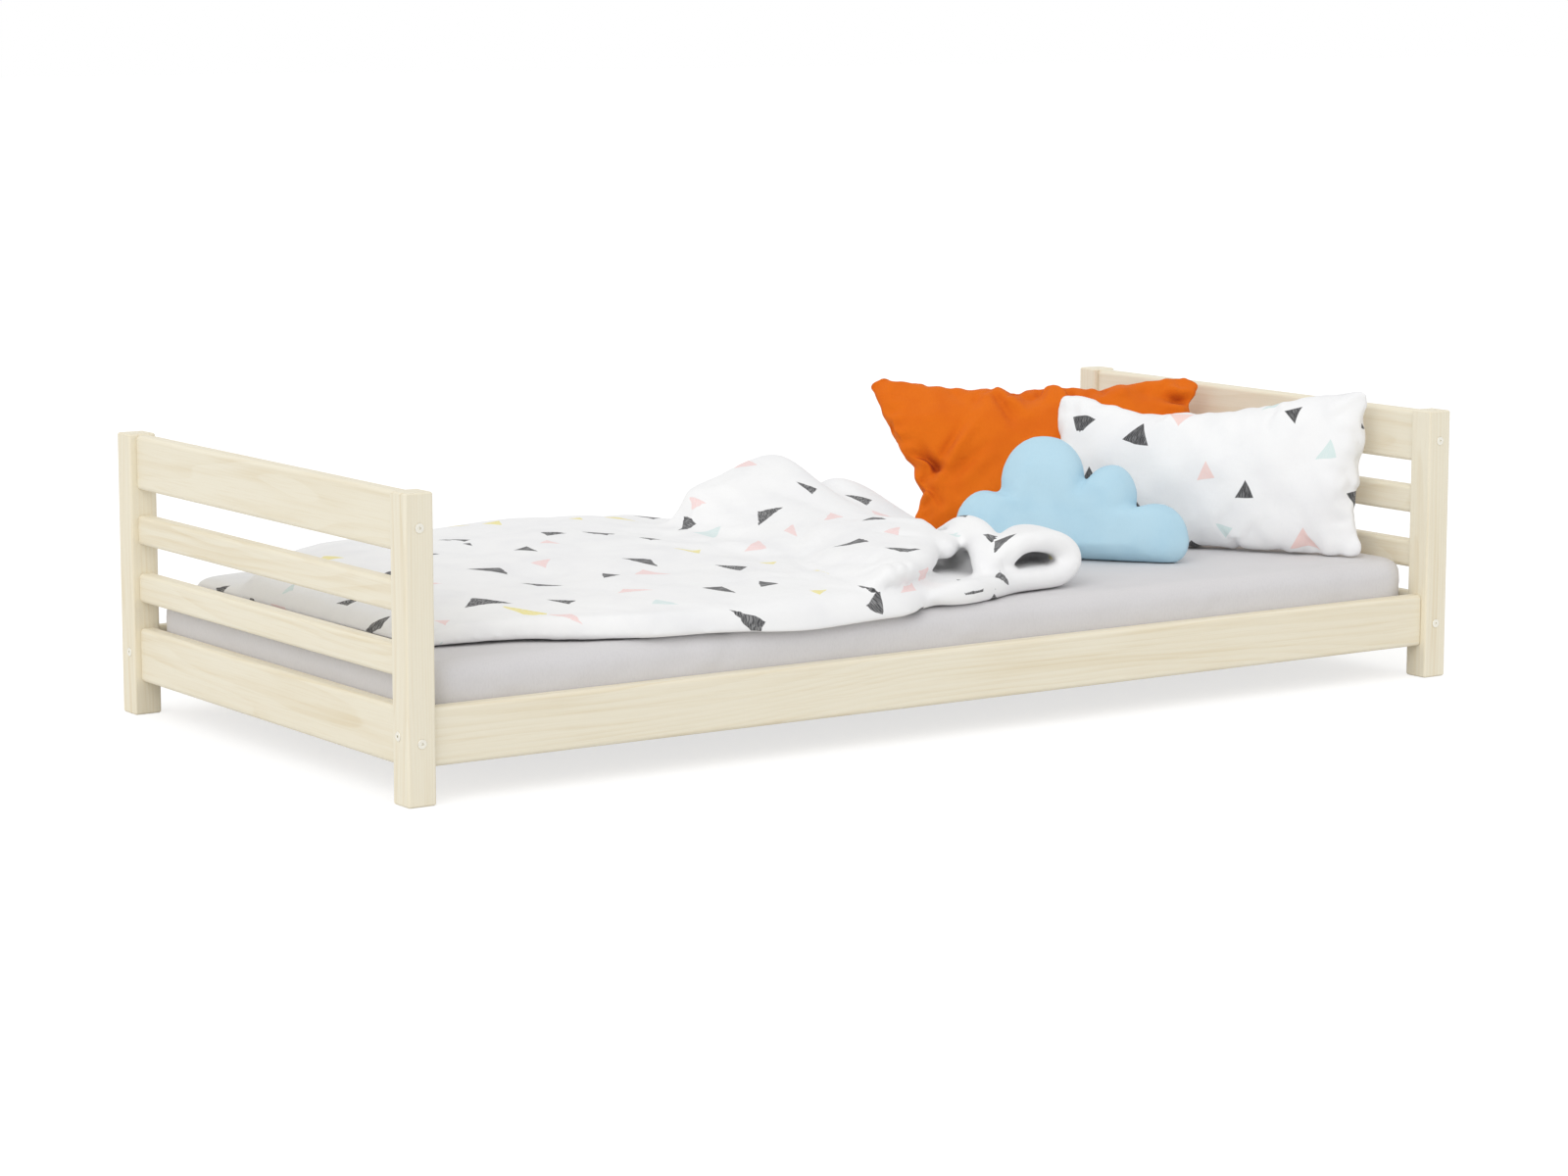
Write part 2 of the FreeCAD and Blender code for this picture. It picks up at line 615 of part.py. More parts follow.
def save_hardware():
    corners = corner_signs()
    end_bolts = [bolt(seat, Y * -sy) for ex, sy in corners for seat in end_bolt_seats(ex, sy)]
    save("end_board_bolts", end_bolts)
    save("side_rail_bolts", [bolt(side_bolt_seat(ex, sy), X * -ex) for ex, sy in corners])
    save("top_board_nuts", [barrel_nut(end_nut_middles(ex, sy)[0], Z, Y) for ex, sy in corners])
    save("end_rail_nuts", [barrel_nut(end_nut_middles(ex, sy)[1], X, Y) for ex, sy in corners])
    save("side_rail_nuts", [barrel_nut(side_nut_middle(ex, sy), Y, X) for ex, sy in corners])
    wide = [dowel(s, Y * sy, DOWEL_R, 0) for ex, sy in corners for s in wide_dowel_seams(ex, sy)]
    narrow = [dowel(s, Y * sy, DOWEL_R, 0) for ex, sy in corners for s in narrow_dowel_seams(ex, sy)]
    save("end_board_dowels", wide + narrow)
    save("side_rail_dowels", [dowel(side_dowel_seam(ex, sy), X * ex, DOWEL_R, 0) for ex, sy in corners])


def save_base():
    for side, sy in SIDES.items():
        save("ledger_" + side, ledger(sy))
        save("slat_tape_" + side, tape(sy))
    for number, x in enumerate(slat_middles(), 1):
        save("base_slat_%02d" % number, base_slat(x))
    save("tape_staples", [staple(at) for x in slat_middles() for at in staple_middles(x)])
    save("ledger_screws", [s for sy in SIDES.values() for s in ledger_screw_solids(sy, 0)])
    save("slat_screws", slat_screw_solids(0))


def save_textiles():
    save("mattress_core", mattress_form(0))
    save("fitted_sheet", fitted_sheet())
    save("duvet", duvet_form())
    pillow = pillow_form(PRINT_PILLOW_W, PRINT_PILLOW_H, PRINT_PILLOW_T)
    forward = PRINT_PILLOW_T / 2
    pillow = stood(pillow, PRINT_PILLOW_BACK, PRINT_PILLOW_TURN, PRINT_PILLOW_LEAN, forward)
    save("print_pillow", pillow)
    pillow = pillow_form(ORANGE_PILLOW_W, ORANGE_PILLOW_H, ORANGE_PILLOW_T)
    forward = -ORANGE_PILLOW_T / 2
    pillow = stood(pillow, ORANGE_PILLOW_FRONT, ORANGE_PILLOW_TURN, ORANGE_PILLOW_LEAN, forward)
    save("orange_pillow", pillow)
    save("cloud_cushion", stood(cloud_form(), CLOUD_FRONT, CLOUD_TURN, CLOUD_LEAN, -CLOUD_T / 2))


os.makedirs("parts", exist_ok=True)
save_frame()
save_hardware()
save_base()
save_textiles()
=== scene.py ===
import math
import re
from functools import partialmethod

import bmesh
import bpy
import numpy as np
from mathutils import Matrix, Vector
from mathutils.bvhtree import BVHTree
from numpy.linalg import norm


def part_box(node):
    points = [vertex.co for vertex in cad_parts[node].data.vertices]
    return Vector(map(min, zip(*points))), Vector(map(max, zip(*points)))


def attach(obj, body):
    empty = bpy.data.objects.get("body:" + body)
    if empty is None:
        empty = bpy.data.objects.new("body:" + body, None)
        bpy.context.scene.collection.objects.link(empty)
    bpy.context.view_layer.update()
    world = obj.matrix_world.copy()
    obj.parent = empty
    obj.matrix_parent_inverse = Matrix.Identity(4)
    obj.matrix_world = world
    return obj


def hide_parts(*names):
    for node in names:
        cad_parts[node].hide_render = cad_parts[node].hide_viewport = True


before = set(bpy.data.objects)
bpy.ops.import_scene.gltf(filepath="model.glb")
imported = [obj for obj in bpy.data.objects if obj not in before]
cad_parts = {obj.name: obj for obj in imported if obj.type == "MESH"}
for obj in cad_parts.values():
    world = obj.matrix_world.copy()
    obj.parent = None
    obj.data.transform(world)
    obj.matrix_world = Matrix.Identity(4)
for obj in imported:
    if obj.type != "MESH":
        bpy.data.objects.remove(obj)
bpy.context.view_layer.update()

scene = bpy.context.scene
TAU = 2 * math.pi
MM = 0.001
UP = np.array((0.0, 0.0, 1.0))


def configure(thing, **settings):
    for key, value in settings.items():
        setattr(thing, key, value)
    return thing


# ---- colours and node graphs
def srgb(red, green, blue):
    """A linear colour from 0-255 display values."""
    def linear(value):
        value /= 255
        return value / 12.92 if value <= 0.04045 else ((value + 0.055) / 1.055) ** 2.4
    return (linear(red), linear(green), linear(blue), 1.0)


class Wire:
    """An output of a shader node. Arithmetic with it adds math nodes."""

    def __init__(self, graph, socket):
        self.graph, self.socket = graph, socket

    def do(self, operation, *values, **settings):
        kind = "VectorMath" if self.socket.type == "VECTOR" else "Math"
        scalar = kind == "Math" or operation in ("DOT_PRODUCT", "LENGTH")
        return self.graph.wire(kind, enumerate((self, *values)), "Value" if scalar else "Vector",
                               operation=operation, **settings)

    __add__ = partialmethod(do, "ADD")
    __sub__ = partialmethod(do, "SUBTRACT")
    __mul__ = partialmethod(do, "MULTIPLY")
    __abs__ = partialmethod(do, "ABSOLUTE")
    least = partialmethod(do, "MINIMUM")
    most = partialmethod(do, "MAXIMUM")
    fract = partialmethod(do, "FRACT")

    def __rsub__(self, number):
        return self.graph.wire("Math", {0: number, 1: self}, operation="SUBTRACT")

    def sine(self, factor=1.0):
        return (self if factor == 1.0 else self * factor).do("SINE")

    def ramp(self, low, high, to_low=0.0, to_high=1.0):
        """A smooth change between two values while this one goes from low to high."""
        values = enumerate((self, low, high, to_low, to_high))
        return self.graph.wire("MapRange", values, interpolation_type="SMOOTHSTEP")

    def parts(self):
        """A vector's coordinates, or a colour's channels."""
        kind = "SeparateXYZ" if self.socket.type == "VECTOR" else "SeparateColor"
        return [Wire(self.graph, part) for part in self.graph.node(kind, {0: self}).outputs]


class Graph:
    """The node graph of a new material or world."""

    def __init__(self, name, kind="materials"):
        self.owner = getattr(bpy.data, kind).new(name)
        self.owner.use_nodes = True
        self.tree = self.owner.node_tree
        self.tree.nodes.clear()

    def node(self, kind, inputs=(), **settings):
        made = configure(self.tree.nodes.new("ShaderNode" + kind), **settings)
        for key, value in dict(inputs).items():
            if isinstance(value, Wire):
                self.tree.links.new(value.socket, made.inputs[key])
            else:
                made.inputs[key].default_value = value
        return made

    def wire(self, kind, inputs=(), output=0, **settings):
        return Wire(self, self.node(kind, inputs, **settings).outputs[output])

    def noise(self, vector, scale=1.0, detail=2.0, rough=0.5):
        inputs = {"Vector": vector, "Scale": scale, "Detail": detail, "Roughness": rough}
        return self.wire("TexNoise", inputs)

    def mix(self, share, a, b):
        return self.wire("Mix", {0: share, 6: a, 7: b}, 2, data_type="RGBA")

    def steps(self, value, stops):
        """One of a few plain colours, by a number from 0 to 1."""
        made = self.node("ValToRGB", {"Fac": value})
        ramp = made.color_ramp
        ramp.interpolation = "CONSTANT"
        for index, (place, colour) in enumerate(stops):
            stop = ramp.elements[index] if index < 2 else ramp.elements.new(place)
            configure(stop, position=place, color=colour)
        return Wire(self, made.outputs[0])

    def bump(self, height, distance, strength, under=None):
        inputs = {"Height": height, "Distance": distance, "Strength": strength}
        return self.wire("Bump", {**inputs, "Normal": under} if under else inputs)

    def place(self):
        return self.wire("TexCoord", output="Object")

    def fabric(self):
        """The place on the flat cloth."""
        return self.wire("Attribute", output="Vector", attribute_type="GEOMETRY",
                         attribute_name="fabric")

    def edges(self, width):
        """0 on flat faces, up to 1 along edges."""
        rounded = self.wire("Bevel", {"Radius": width}, samples=4)
        flat = self.wire("NewGeometry", output="Normal")
        return rounded.do("DOT_PRODUCT", flat).ramp(0.995, 0.8)

    def surface(self, shader, output="OutputMaterial"):
        self.node(output, {"Surface": shader})
        return self.owner

    def finish(self, colour, rough, normal, **more):
        inputs = {"Base Color": colour, "Roughness": rough, "Normal": normal}
        inputs.update((key.replace("_", " "), value) for key, value in more.items())
        return self.surface(self.wire("BsdfPrincipled", inputs))


# ---- materials
RINGS_PER_M = 155.0
THREAD = 0.0006         # pitches in metres, from here on
STITCH_RUN = 0.0042
WALE, COURSE = 0.0014, 0.0011
DIAMOND = 0.07
CHEVRON, RIB = 0.006, 0.0016


def wood(name, grain, pale, dark, share, rough=0.5):
    """Planed wood whose grain runs along one axis."""
    g = Graph(name)
    at = g.place()

    def grained(across, along):
        return at * [along if axis == grain else across for axis in "XYZ"]

    pith = [0.0 if axis == grain else off for axis, off in zip("XYZ", (-0.31, 0.27, -0.22))]
    warp = g.noise(grained(7.0, 0.9), rough=0.45)
    radius = (grained(1.0, 0.0) + pith).do("LENGTH") + warp * 0.085
    ring = (radius * RINGS_PER_M).fract()
    late = ring.ramp(0.25, 0.88) * ring.ramp(0.93, 1.0, 1.0, 0.0)
    fibre = g.noise(grained(420.0, 9.0), detail=3.0, rough=0.6)
    streak = g.noise(grained(60.0, 2.2))
    patch = g.noise(at, 3.1, 1.0)
    tone = late * streak.ramp(0.3, 0.75, 0.25, 1.0) * share
    tone = tone + fibre.ramp(0.45, 0.8, 0.0, 0.25) + streak.ramp(0.5, 0.8, 0.0, 0.3)
    tone = tone + patch.ramp(0.45, 0.75, 0.0, 0.16)
    # darker along the edges: partly wear from handling, partly painted shade of the rounded edges
    tone = tone.do("ADD", g.edges(0.004) * 0.35, use_clamp=True)
    return g.finish(
        g.mix(tone, pale, dark), fibre.ramp(0.3, 0.8, rough, rough + 0.14),
        g.bump(fibre * 0.6 + late * 0.5, 0.00025, 0.6), Specular_IOR_Level=0.35)


def metal(name, colour, rough, brushed):
    """Satin metal with turned or drawn lines."""
    g = Graph(name)
    at = g.place()
    lines = g.noise(at * brushed, rough=0.6)
    darker = tuple(c * 0.82 for c in colour[:3]) + (1.0,)
    return g.finish(
        g.mix(g.noise(at, 900.0).ramp(0.35, 0.8), colour, darker),
        lines.ramp(0.2, 0.8, rough - 0.07, rough + 0.1), g.bump(lines, 0.00006, 0.5),
        Metallic=1.0)


def scatter(g, at, cell, size, rag, stops, brush=0.25, upright=False, shift=0.0):
    """Small ragged triangles scattered over a fabric: their share of ink, and its colour."""
    q = at * (1 / cell, 1 / cell, 0.0) + (shift, shift * 0.7, 0.0)
    found = g.node("TexVoronoi", {"Vector": q, "Scale": 1.0, "Randomness": 0.72},
                   voronoi_dimensions="2D").outputs
    chance, middle = Wire(g, found["Color"]).parts(), Wire(g, found["Position"])
    more = g.wire("TexWhiteNoise", {"Vector": middle}, "Color", noise_dimensions="3D").parts()
    if upright:
        angle = chance[0].do("GREATER_THAN", 0.5) * math.pi + (more[0] - 0.5) * 0.5
        skew, squash = 0.3, 0.25
    else:
        angle = chance[0] * TAU
        skew, squash = 1.5, 0.8
    turned = g.wire("VectorRotate", {"Vector": q - middle, "Angle": angle}, rotation_type="Z_AXIS")
    x, y, _ = turned.parts()
    x = x + y * ((more[0] - 0.5) * skew)
    y = y * (more[1] * squash + (1.12 - squash / 2)) + (g.noise(q, 9.0) - 0.5) * rag
    edge = (y * -1.0).most(abs(x) * 0.866 + y * 0.5)
    reach = (more[2] * 0.5 + 0.72) * size
    streaks = g.noise(turned * (60.0, 9.0, 0.0), rough=0.6)
    ink = (edge - reach).ramp(0.006, -0.006) * streaks.ramp(0.35, 0.75, 1.0, 1.0 - brush)
    return ink, g.steps(chance[1], stops)


def cotton(name, base, shade, painted_shade, crease=0.0012, crease_scale=26.0, printed=None,
           stitched=None, sheen=0.08, painted_shade_range=(0.55, 0.0)):
    """Woven cotton with painted shade where its own form is sunk into creases and hollows, perhaps
    with a print and a stitched edge.
    """
    g = Graph(name)
    at, here = g.fabric(), g.place()
    slub = g.noise(at * (900.0, 90.0, 0.0), rough=0.6)
    colour = g.mix(g.noise(here, 14.0).ramp(0.35, 0.8, 0.0, 0.5), base, shade)
    colour = g.mix(slub.ramp(0.45, 0.85, 0.0, 0.3), colour, shade)
    if printed:
        ink, tint = scatter(g, at, *printed)
        colour = g.mix(ink, colour, tint)
    x, y, _ = (at * (1 / THREAD, 1 / THREAD, 0.0)).parts()
    normal = g.bump(x.sine(TAU) * y.sine(TAU), 0.00005, 0.35)
    creased = g.noise(here + at * (0.15, 0.15, 0.0), crease_scale, 3.0, 0.55)
    normal = g.bump(abs(creased - 0.5), crease, 0.7, normal)
    if stitched:
        width, length, inset = stitched
        x, y, _ = at.parts()
        inside = x.least(width - x).least(y.least(length - y))
        line = abs(inside - inset).ramp(0.0012, 0.0004)
        stitch = line * (x + y).sine(TAU / STITCH_RUN).ramp(-0.35, -0.1)
        colour = g.mix(stitch * 0.35, colour, shade)
        normal = g.bump(stitch - line, 0.0005, 0.8, normal)
    # painted shade: the colour goes toward the painted shade colour where the piece's own ambient
    # occlusion is low
    open_sky = g.wire("AmbientOcclusion", {"Distance": 0.03}, "AO", samples=6, only_local=True)
    colour = g.mix(open_sky.ramp(*painted_shade_range, 0.0, 0.85), colour, painted_shade)
    return g.finish(colour, 0.88, normal, Specular_IOR_Level=0.25, Sheen_Weight=sheen,
                    Sheen_Roughness=0.5)


def jersey(name, base, shade):
    """Fine cotton jersey: rows of small stitches."""
    g = Graph(name)
    here = g.place()
    x, y, z = here.parts()
    face = g.wire("NewGeometry", output="Normal").parts()
    side, over = (abs(face[k]).ramp(0.6, 0.75) for k in (0, 2))
    wale = x * (1.0 - side) + y * side
    course = z * (1.0 - over) + y * over
    rib = abs(wale.sine(math.pi / WALE))
    stitch = (course * (TAU / COURSE) + rib * 2.2).sine()
    mottle = g.noise(here * (420.0, 420.0, 160.0))
    colour = g.mix(mottle.ramp(0.35, 0.8, 0.0, 0.3), base, shade)
    colour = g.mix(g.noise(here, 5.0).ramp(0.4, 0.8, 0.0, 0.25), colour, shade)
    normal = g.bump(rib * 0.7 + stitch * 0.3, 0.00008, 0.4)
    normal = g.bump(g.noise(here * (22.0, 22.0, 5.0), detail=3.0), 0.002, 0.35, normal)
    return g.finish(colour, 0.93, normal, Specular_IOR_Level=0.2, Sheen_Weight=0.1,
                    Sheen_Roughness=0.6)


def quilted(name, base, shade):
    """A mattress cover quilted in diamonds."""
    g = Graph(name)
    here = g.place()
    x, y, _ = here.parts()
    a, b = (abs(way.sine(math.pi / DIAMOND)) for way in (x + y, x - y))
    puff = (a * b).do("POWER", 0.35)
    knit = g.noise(here * (700.0, 260.0, 700.0), rough=0.6)
    tone = puff.ramp(0.3, 0.12) * 0.5 + knit.ramp(0.5, 0.8, 0.0, 0.3)
    normal = g.bump(puff, 0.004, 0.8, g.bump(knit, 0.0001, 0.4))
    return g.finish(g.mix(tone, base, shade), 0.9, normal, Specular_IOR_Level=0.2,
                    Sheen_Weight=0.1)


def webbing(name, base, shade):
    """Woven tape with a herringbone."""
    g = Graph(name)
    here = g.place()
    x, y, _ = here.parts()
    zig = abs((y * (1 / CHEVRON)).fract() - 0.5)
    rib = (x + zig * 0.004).sine(TAU / RIB)
    colour = g.mix(rib.ramp(-0.2, 0.9, 0.0, 0.5), shade, base)
    colour = g.mix(g.noise(here, 300.0).ramp(0.5, 0.8, 0.0, 0.3), colour, shade)
    return g.finish(colour, 0.85, g.bump(rib, 0.0002, 0.7), Specular_IOR_Level=0.25)


woods = {
    axis: wood("spruce_" + axis.lower(), axis, srgb(238, 231, 211), srgb(222, 206, 172), 0.3)
    for axis in "XYZ"
}
slat_wood = wood("slat_spruce", "Y", srgb(236, 220, 186), srgb(205, 172, 120), 0.5, 0.6)
ledger_wood = wood("ledger_spruce", "X", srgb(237, 223, 190), srgb(208, 178, 128), 0.5, 0.6)
dowel_wood = wood("beech", "Y", srgb(222, 196, 156), srgb(196, 160, 112), 0.4, 0.6)
bolt_metal = metal("zinc_satin", srgb(240, 237, 226), 0.48, (300.0, 300.0, 300.0))
hidden_metal = metal("zinc_plate", srgb(205, 205, 202), 0.42, (500.0, 60.0, 500.0))
tape_material = webbing("tape_weave", srgb(232, 231, 225), srgb(196, 194, 186))
sheet_material = jersey("grey_jersey", srgb(216, 214, 215), srgb(202, 199, 200))
cover_material = quilted("quilted_cover", srgb(240, 238, 232), srgb(214, 211, 203))

# each colour of a print, and where its share of the triangles starts
INKS = [
    (0.0, srgb(60, 60, 62)), (0.46, srgb(243, 214, 212)),
    (0.66, srgb(240, 228, 150)), (0.84, srgb(216, 231, 230)),
]
PILLOW_INKS = [
    (0.0, srgb(56, 56, 58)), (0.55, srgb(243, 212, 206)), (0.8, srgb(214, 230, 228)),
]
# white cotton: its colour, a darker tone for random mottling, and the painted shade colour of its
# creases
WHITES = srgb(244, 244, 244), srgb(234, 234, 236), srgb(128, 127, 130)


# ---- meshes
def smoothed(made):
    made.data.polygons.foreach_set("use_smooth", [True] * len(made.data.polygons))


def dress(made, material):
    made.data.materials.clear()
    made.data.materials.append(material)


def new_object(name, points, faces, material=None):
    mesh = bpy.data.meshes.new(name)
    mesh.from_pydata(np.asarray(points, float).tolist(), [], [[int(i) for i in f] for f in faces])
    mesh.validate()
    made = bpy.data.objects.new(name, mesh)
    scene.collection.objects.link(made)
    smoothed(made)
    if material:
        dress(made, material)
    return made


def mesh_points(mesh):
    flat = np.empty(len(mesh.vertices) * 3, np.float64)
    mesh.vertices.foreach_get("co", flat)
    return flat.reshape(-1, 3)


def set_points(made, points):
    made.data.vertices.foreach_set("co", np.asarray(points, np.float32).ravel())
    made.data.update()


def evaluated(made):
    """An object as its modifiers shape it."""
    bpy.context.view_layer.update()
    return made.evaluated_get(bpy.context.evaluated_depsgraph_get())


def ring_faces(index):
    """The faces between closed rings of point numbers."""
    after = np.roll(index, -1, 1)
    return np.stack([index[:-1], after[:-1], after[1:], index[1:]], 2).reshape(-1, 4)


def quads(grid):
    """The four corners of each face of a grid."""
    return np.stack([grid[:-1, :-1], grid[1:, :-1], grid[1:, 1:], grid[:-1, 1:]], 2)


def weld(made, distance=0.0002):
    work = bmesh.new()
    work.from_mesh(made.data)
    bmesh.ops.remove_doubles(work, verts=work.verts, dist=distance)
    bmesh.ops.recalc_face_normals(work, faces=work.faces)
    work.to_mesh(made.data)
    work.free()
    smoothed(made)


def remesh(made, size):
    """Gives an object the same form in even faces of that size."""
    change = made.modifiers.new("even", "REMESH")
    configure(change, mode="VOXEL", voxel_size=size, use_smooth_shade=True)
    mesh = bpy.data.meshes.new_from_object(evaluated(made))
    made.modifiers.clear()
    old = made.data
    made.data = mesh
    bpy.data.meshes.remove(old)


def relax(made, times, share=0.5):
    """Smooths a mesh by moving each point towards its neighbours' middle."""
    mesh = made.data
    edges = np.empty(len(mesh.edges) * 2, np.int64)
    mesh.edges.foreach_get("vertices", edges)
    a, b = edges.reshape(-1, 2).T
    points = mesh_points(mesh)
    size = len(points)
    count = np.bincount(a, minlength=size) + np.bincount(b, minlength=size)
    for _ in range(times):
        total = np.column_stack([
            np.bincount(a, line[b], size) + np.bincount(b, line[a], size) for line in points.T])
        points = points + share * (total / np.maximum(count, 1)[:, None] - points)
    set_points(made, points)


def simulate(made, frames, pressure, cap=None, growth=0.03, stiff=15.0, bend=0.5, quality=5,
             mass=0.3):
    """Lets a closed form swell as filled cloth does, and keeps the result."""
    before = mesh_points(made.data)
    change = made.modifiers.new("cloth", "CLOTH")
    cloth = configure(
        change.settings, quality=quality, mass=mass, use_pressure=True,
        uniform_pressure_force=pressure, tension_stiffness=stiff, compression_stiffness=stiff,
        shear_stiffness=stiff * 0.4, bending_stiffness=bend, shrink_min=-growth)
    cloth.effector_weights.gravity = 0
    configure(change.collision_settings, use_collision=False, use_self_collision=False)
    configure(change.point_cache, frame_start=1, frame_end=frames)
    configure(scene, frame_start=1, frame_end=frames)
    for number in range(1, frames + 1):
        scene.frame_set(number)
        after = mesh_points(evaluated(made).data)
    made.modifiers.remove(change)
    move = after - before
    if cap:
        far = norm(move, axis=1)
        move *= np.minimum(1.0, cap / np.maximum(far, 1e-9))[:, None]
    move[~np.isfinite(move).all(axis=1)] = 0
    set_points(made, before + move)
    scene.frame_set(1)


def waves(seed, count, short, long):
    """A soft random field over a plane, about -1 to 1, with waves of those lengths."""
    draw = np.random.default_rng(seed)
    turn = draw.uniform(0, math.pi, count)
    size = TAU / draw.uniform(short, long, count)
    shift = draw.uniform(0, TAU, count)

    def field(x, y):
        total = 0
        for t, k, s in zip(turn, size, shift):
            total = total + np.sin(k * (x * math.cos(t) + y * math.sin(t)) + s)
        return total / math.sqrt(count)
    return field


def smooth_step(value, low, high):
    t = np.clip((value - low) / (high - low), 0, 1)
    return t * t * (3 - 2 * t)


def arch(value):
    """0 to 1 as the value does, square of a quarter circle's height there."""
    return 1 - (1 - np.clip(value, 0, 1)) ** 2


def spline(keys, steps):
    """Points on a smooth line through the keys, by rows."""
    keys = np.asarray(keys, float)
    padded = np.vstack([2 * keys[0] - keys[1], keys, 2 * keys[-1] - keys[-2]])
    at = np.linspace(0, len(keys) - 1, steps)
    seg = np.minimum(at.astype(int), len(keys) - 2)
    t = (at - seg)[:, None]
    p0, p1, p2, p3 = (padded[seg + k] for k in range(4))
    return 0.5 * (2 * p1 + (p2 - p0) * t + (2 * p0 - 5 * p1 + 4 * p2 - p3) * t ** 2
                  + (3 * p1 - p0 - 3 * p2 + p3) * t ** 3)


def subdivide(made):
    configure(made.modifiers.new("fine", "SUBSURF"), levels=1, render_levels=1,
              boundary_smooth="PRESERVE_CORNERS")


# ---- the carried-over CAD nodes
FINISHES = (
    (r"post_", woods["Z"]),
    (r"side_rail_(near|far)$", woods["X"]),
    (r".*_board$|(foot|head)_rail$", woods["Y"]),
    (r"ledger_(?!screws)", ledger_wood),
    (r"base_slat_", slat_wood),
    (r"slat_tape_", tape_material),
    (r".*_dowels$", dowel_wood),
    (r".*_bolts$", bolt_metal),
    (r".*_(nuts|screws|staples)$", hidden_metal),
)
for name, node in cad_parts.items():
    for pattern, material in FINISHES:
        if re.match(pattern, name):
            dress(node, material)


# ---- mattress and fitted sheet
ACROSS, ALONG = 58, 130      # points on a block's short and long sides
TURNS, BENDS = 8, 7          # steps round its corners, and over its edges
SECTION, TOP_RINGS = 9, 34   # rings up its side, and over its top


def outline(half_x, half_y, corner):
    """A rounded rectangle's points, always as many."""
    cx, cy = max(half_x - corner, 0.0), max(half_y - corner, 0.0)
    arcs = []
    for x, y, start in ((cx, -cy, -90), (cx, cy, 0), (-cx, cy, 90), (-cx, -cy, 180)):
        angle = np.radians(start + 90 * np.arange(TURNS + 1) / TURNS)
        arcs.append(np.column_stack([x + corner * np.cos(angle), y + corner * np.sin(angle)]))
    points = []
    for k, arc in enumerate(arcs):
        count = ALONG if k % 2 else ACROSS
        share = np.arange(count)[:, None] / count
        points += [arc[:-1], arc[-1] + (arcs[(k + 1) % 4][0] - arc[-1]) * share]
    return np.vstack(points)


def block(half_x, half_y, low, high, corner, edge, inner, closed):
    """The rings of a rounded block, from under its rim to the middle of its top, and its faces."""
    angle = math.pi / 2 * np.arange(1, BENDS) / BENDS
    inset = edge * (1 - np.sin(angle)), edge * (1 - np.cos(angle))
    rings = [
        *((edge + inset, low) for inset in inner),
        *zip(inset[0], low + inset[1]),
        *((0.0, z) for z in np.linspace(low + edge, high - edge, SECTION)),
        *zip(inset[1], high - inset[0]),
        *((edge + (half_y - edge) * k / (TOP_RINGS - 1), high) for k in range(TOP_RINGS)),
    ]
    rows = []
    for inset, z in rings:
        ring = outline(half_x - inset, half_y - inset, max(corner - inset, 0.004))
        if inset >= half_y - 0.001:
            ring[:, 1] = 0.0
        rows.append(np.column_stack([ring, np.full(len(ring), z)]))
    grid = np.array(rows)
    index = np.arange(grid[..., 0].size).reshape(grid.shape[:2])
    return grid, [*ring_faces(index), *([index[0, ::-1]] if closed else [])]


core_low, core_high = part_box("mattress_core")
UNDER_SHEET = 0.0022
grid, faces = block(
    core_high.x - UNDER_SHEET, core_high.y - UNDER_SHEET, core_low.z + 0.0003,
    core_high.z - 0.002, 0.060, 0.027, (0.40, 0.3, 0.2, 0.1, 0.05, 0.02, 0.0), True)
core = new_object("mattress_pad", grid.reshape(-1, 3), faces, cover_material)
weld(core)
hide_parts("mattress_core")
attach(core, "mattress")

SHEET_CORNER = 0.0635
SIDE_RING = 12               # a ring that runs round the sheet's side
WRINKLES = 150
TOP_Z = 0.2                  # what is higher belongs to the sheet's top
sheet_low, sheet_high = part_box("fitted_sheet")
grid, faces = block(
    sheet_high.x, sheet_high.y, sheet_low.z, sheet_high.z - 0.0001,
    SHEET_CORNER, 0.0295, (0.045, 0.03, 0.015, 0.0), False)
x, y, height = np.moveaxis(grid, 2, 0)
on_top = height > TOP_Z
loop = np.vstack([grid[SIDE_RING], grid[SIDE_RING][:1]])
steps = norm(np.diff(loop, axis=0), axis=1)
run, total_run = np.concatenate([[0], np.cumsum(steps)])[:-1], steps.sum()
half = np.array([sheet_high.x - SHEET_CORNER, sheet_high.y - SHEET_CORNER])
outward = grid - np.clip(grid, [*-half, 0.133], [*half, 0.1768])
length = norm(outward, axis=2, keepdims=True)
outward = np.where(length > 1e-9, outward / np.maximum(length, 1e-9), 0)
outward[:, :, 2] = np.where(height > sheet_high.z - 0.001, 1.0, outward[:, :, 2])
from_side = np.maximum(0, np.minimum(sheet_high.y - np.abs(y), sheet_high.x - np.abs(x)))
push = np.zeros_like(height)
draw = np.random.default_rng(11)
for _ in range(WRINKLES):
    at_run = draw.uniform(0, total_run)
    width = draw.uniform(0.005, 0.020)
    size = draw.uniform(0.0008, 0.0027) * draw.choice([1, 1, -0.8])
    lean = draw.normal(0, 0.35)
    top = draw.uniform(0.176, 0.215)
    off = run[None, :] - at_run - lean * (height - 0.15)
    off = (off + total_run / 2) % total_run - total_run / 2
    push += size * np.exp(-(off / width) ** 2) * (1 - smooth_step(height, top - 0.02, top + 0.004))
push *= smooth_step(height, 0.150, 0.166) * (1 - smooth_step(from_side, 0.004, 0.035) * on_top)
dips = 0.0004 * waves(5, 9, 0.06, 0.24)(x, y) + 0.00022 * waves(6, 7, 0.03, 0.09)(x, y * 0.6)
push -= smooth_step(from_side, 0.01, 0.05) * on_top * (0.0005 + dips)
push = np.where(on_top & (from_side > 0.03), np.minimum(push, 0), push)
grid = grid + outward * push[:, :, None]
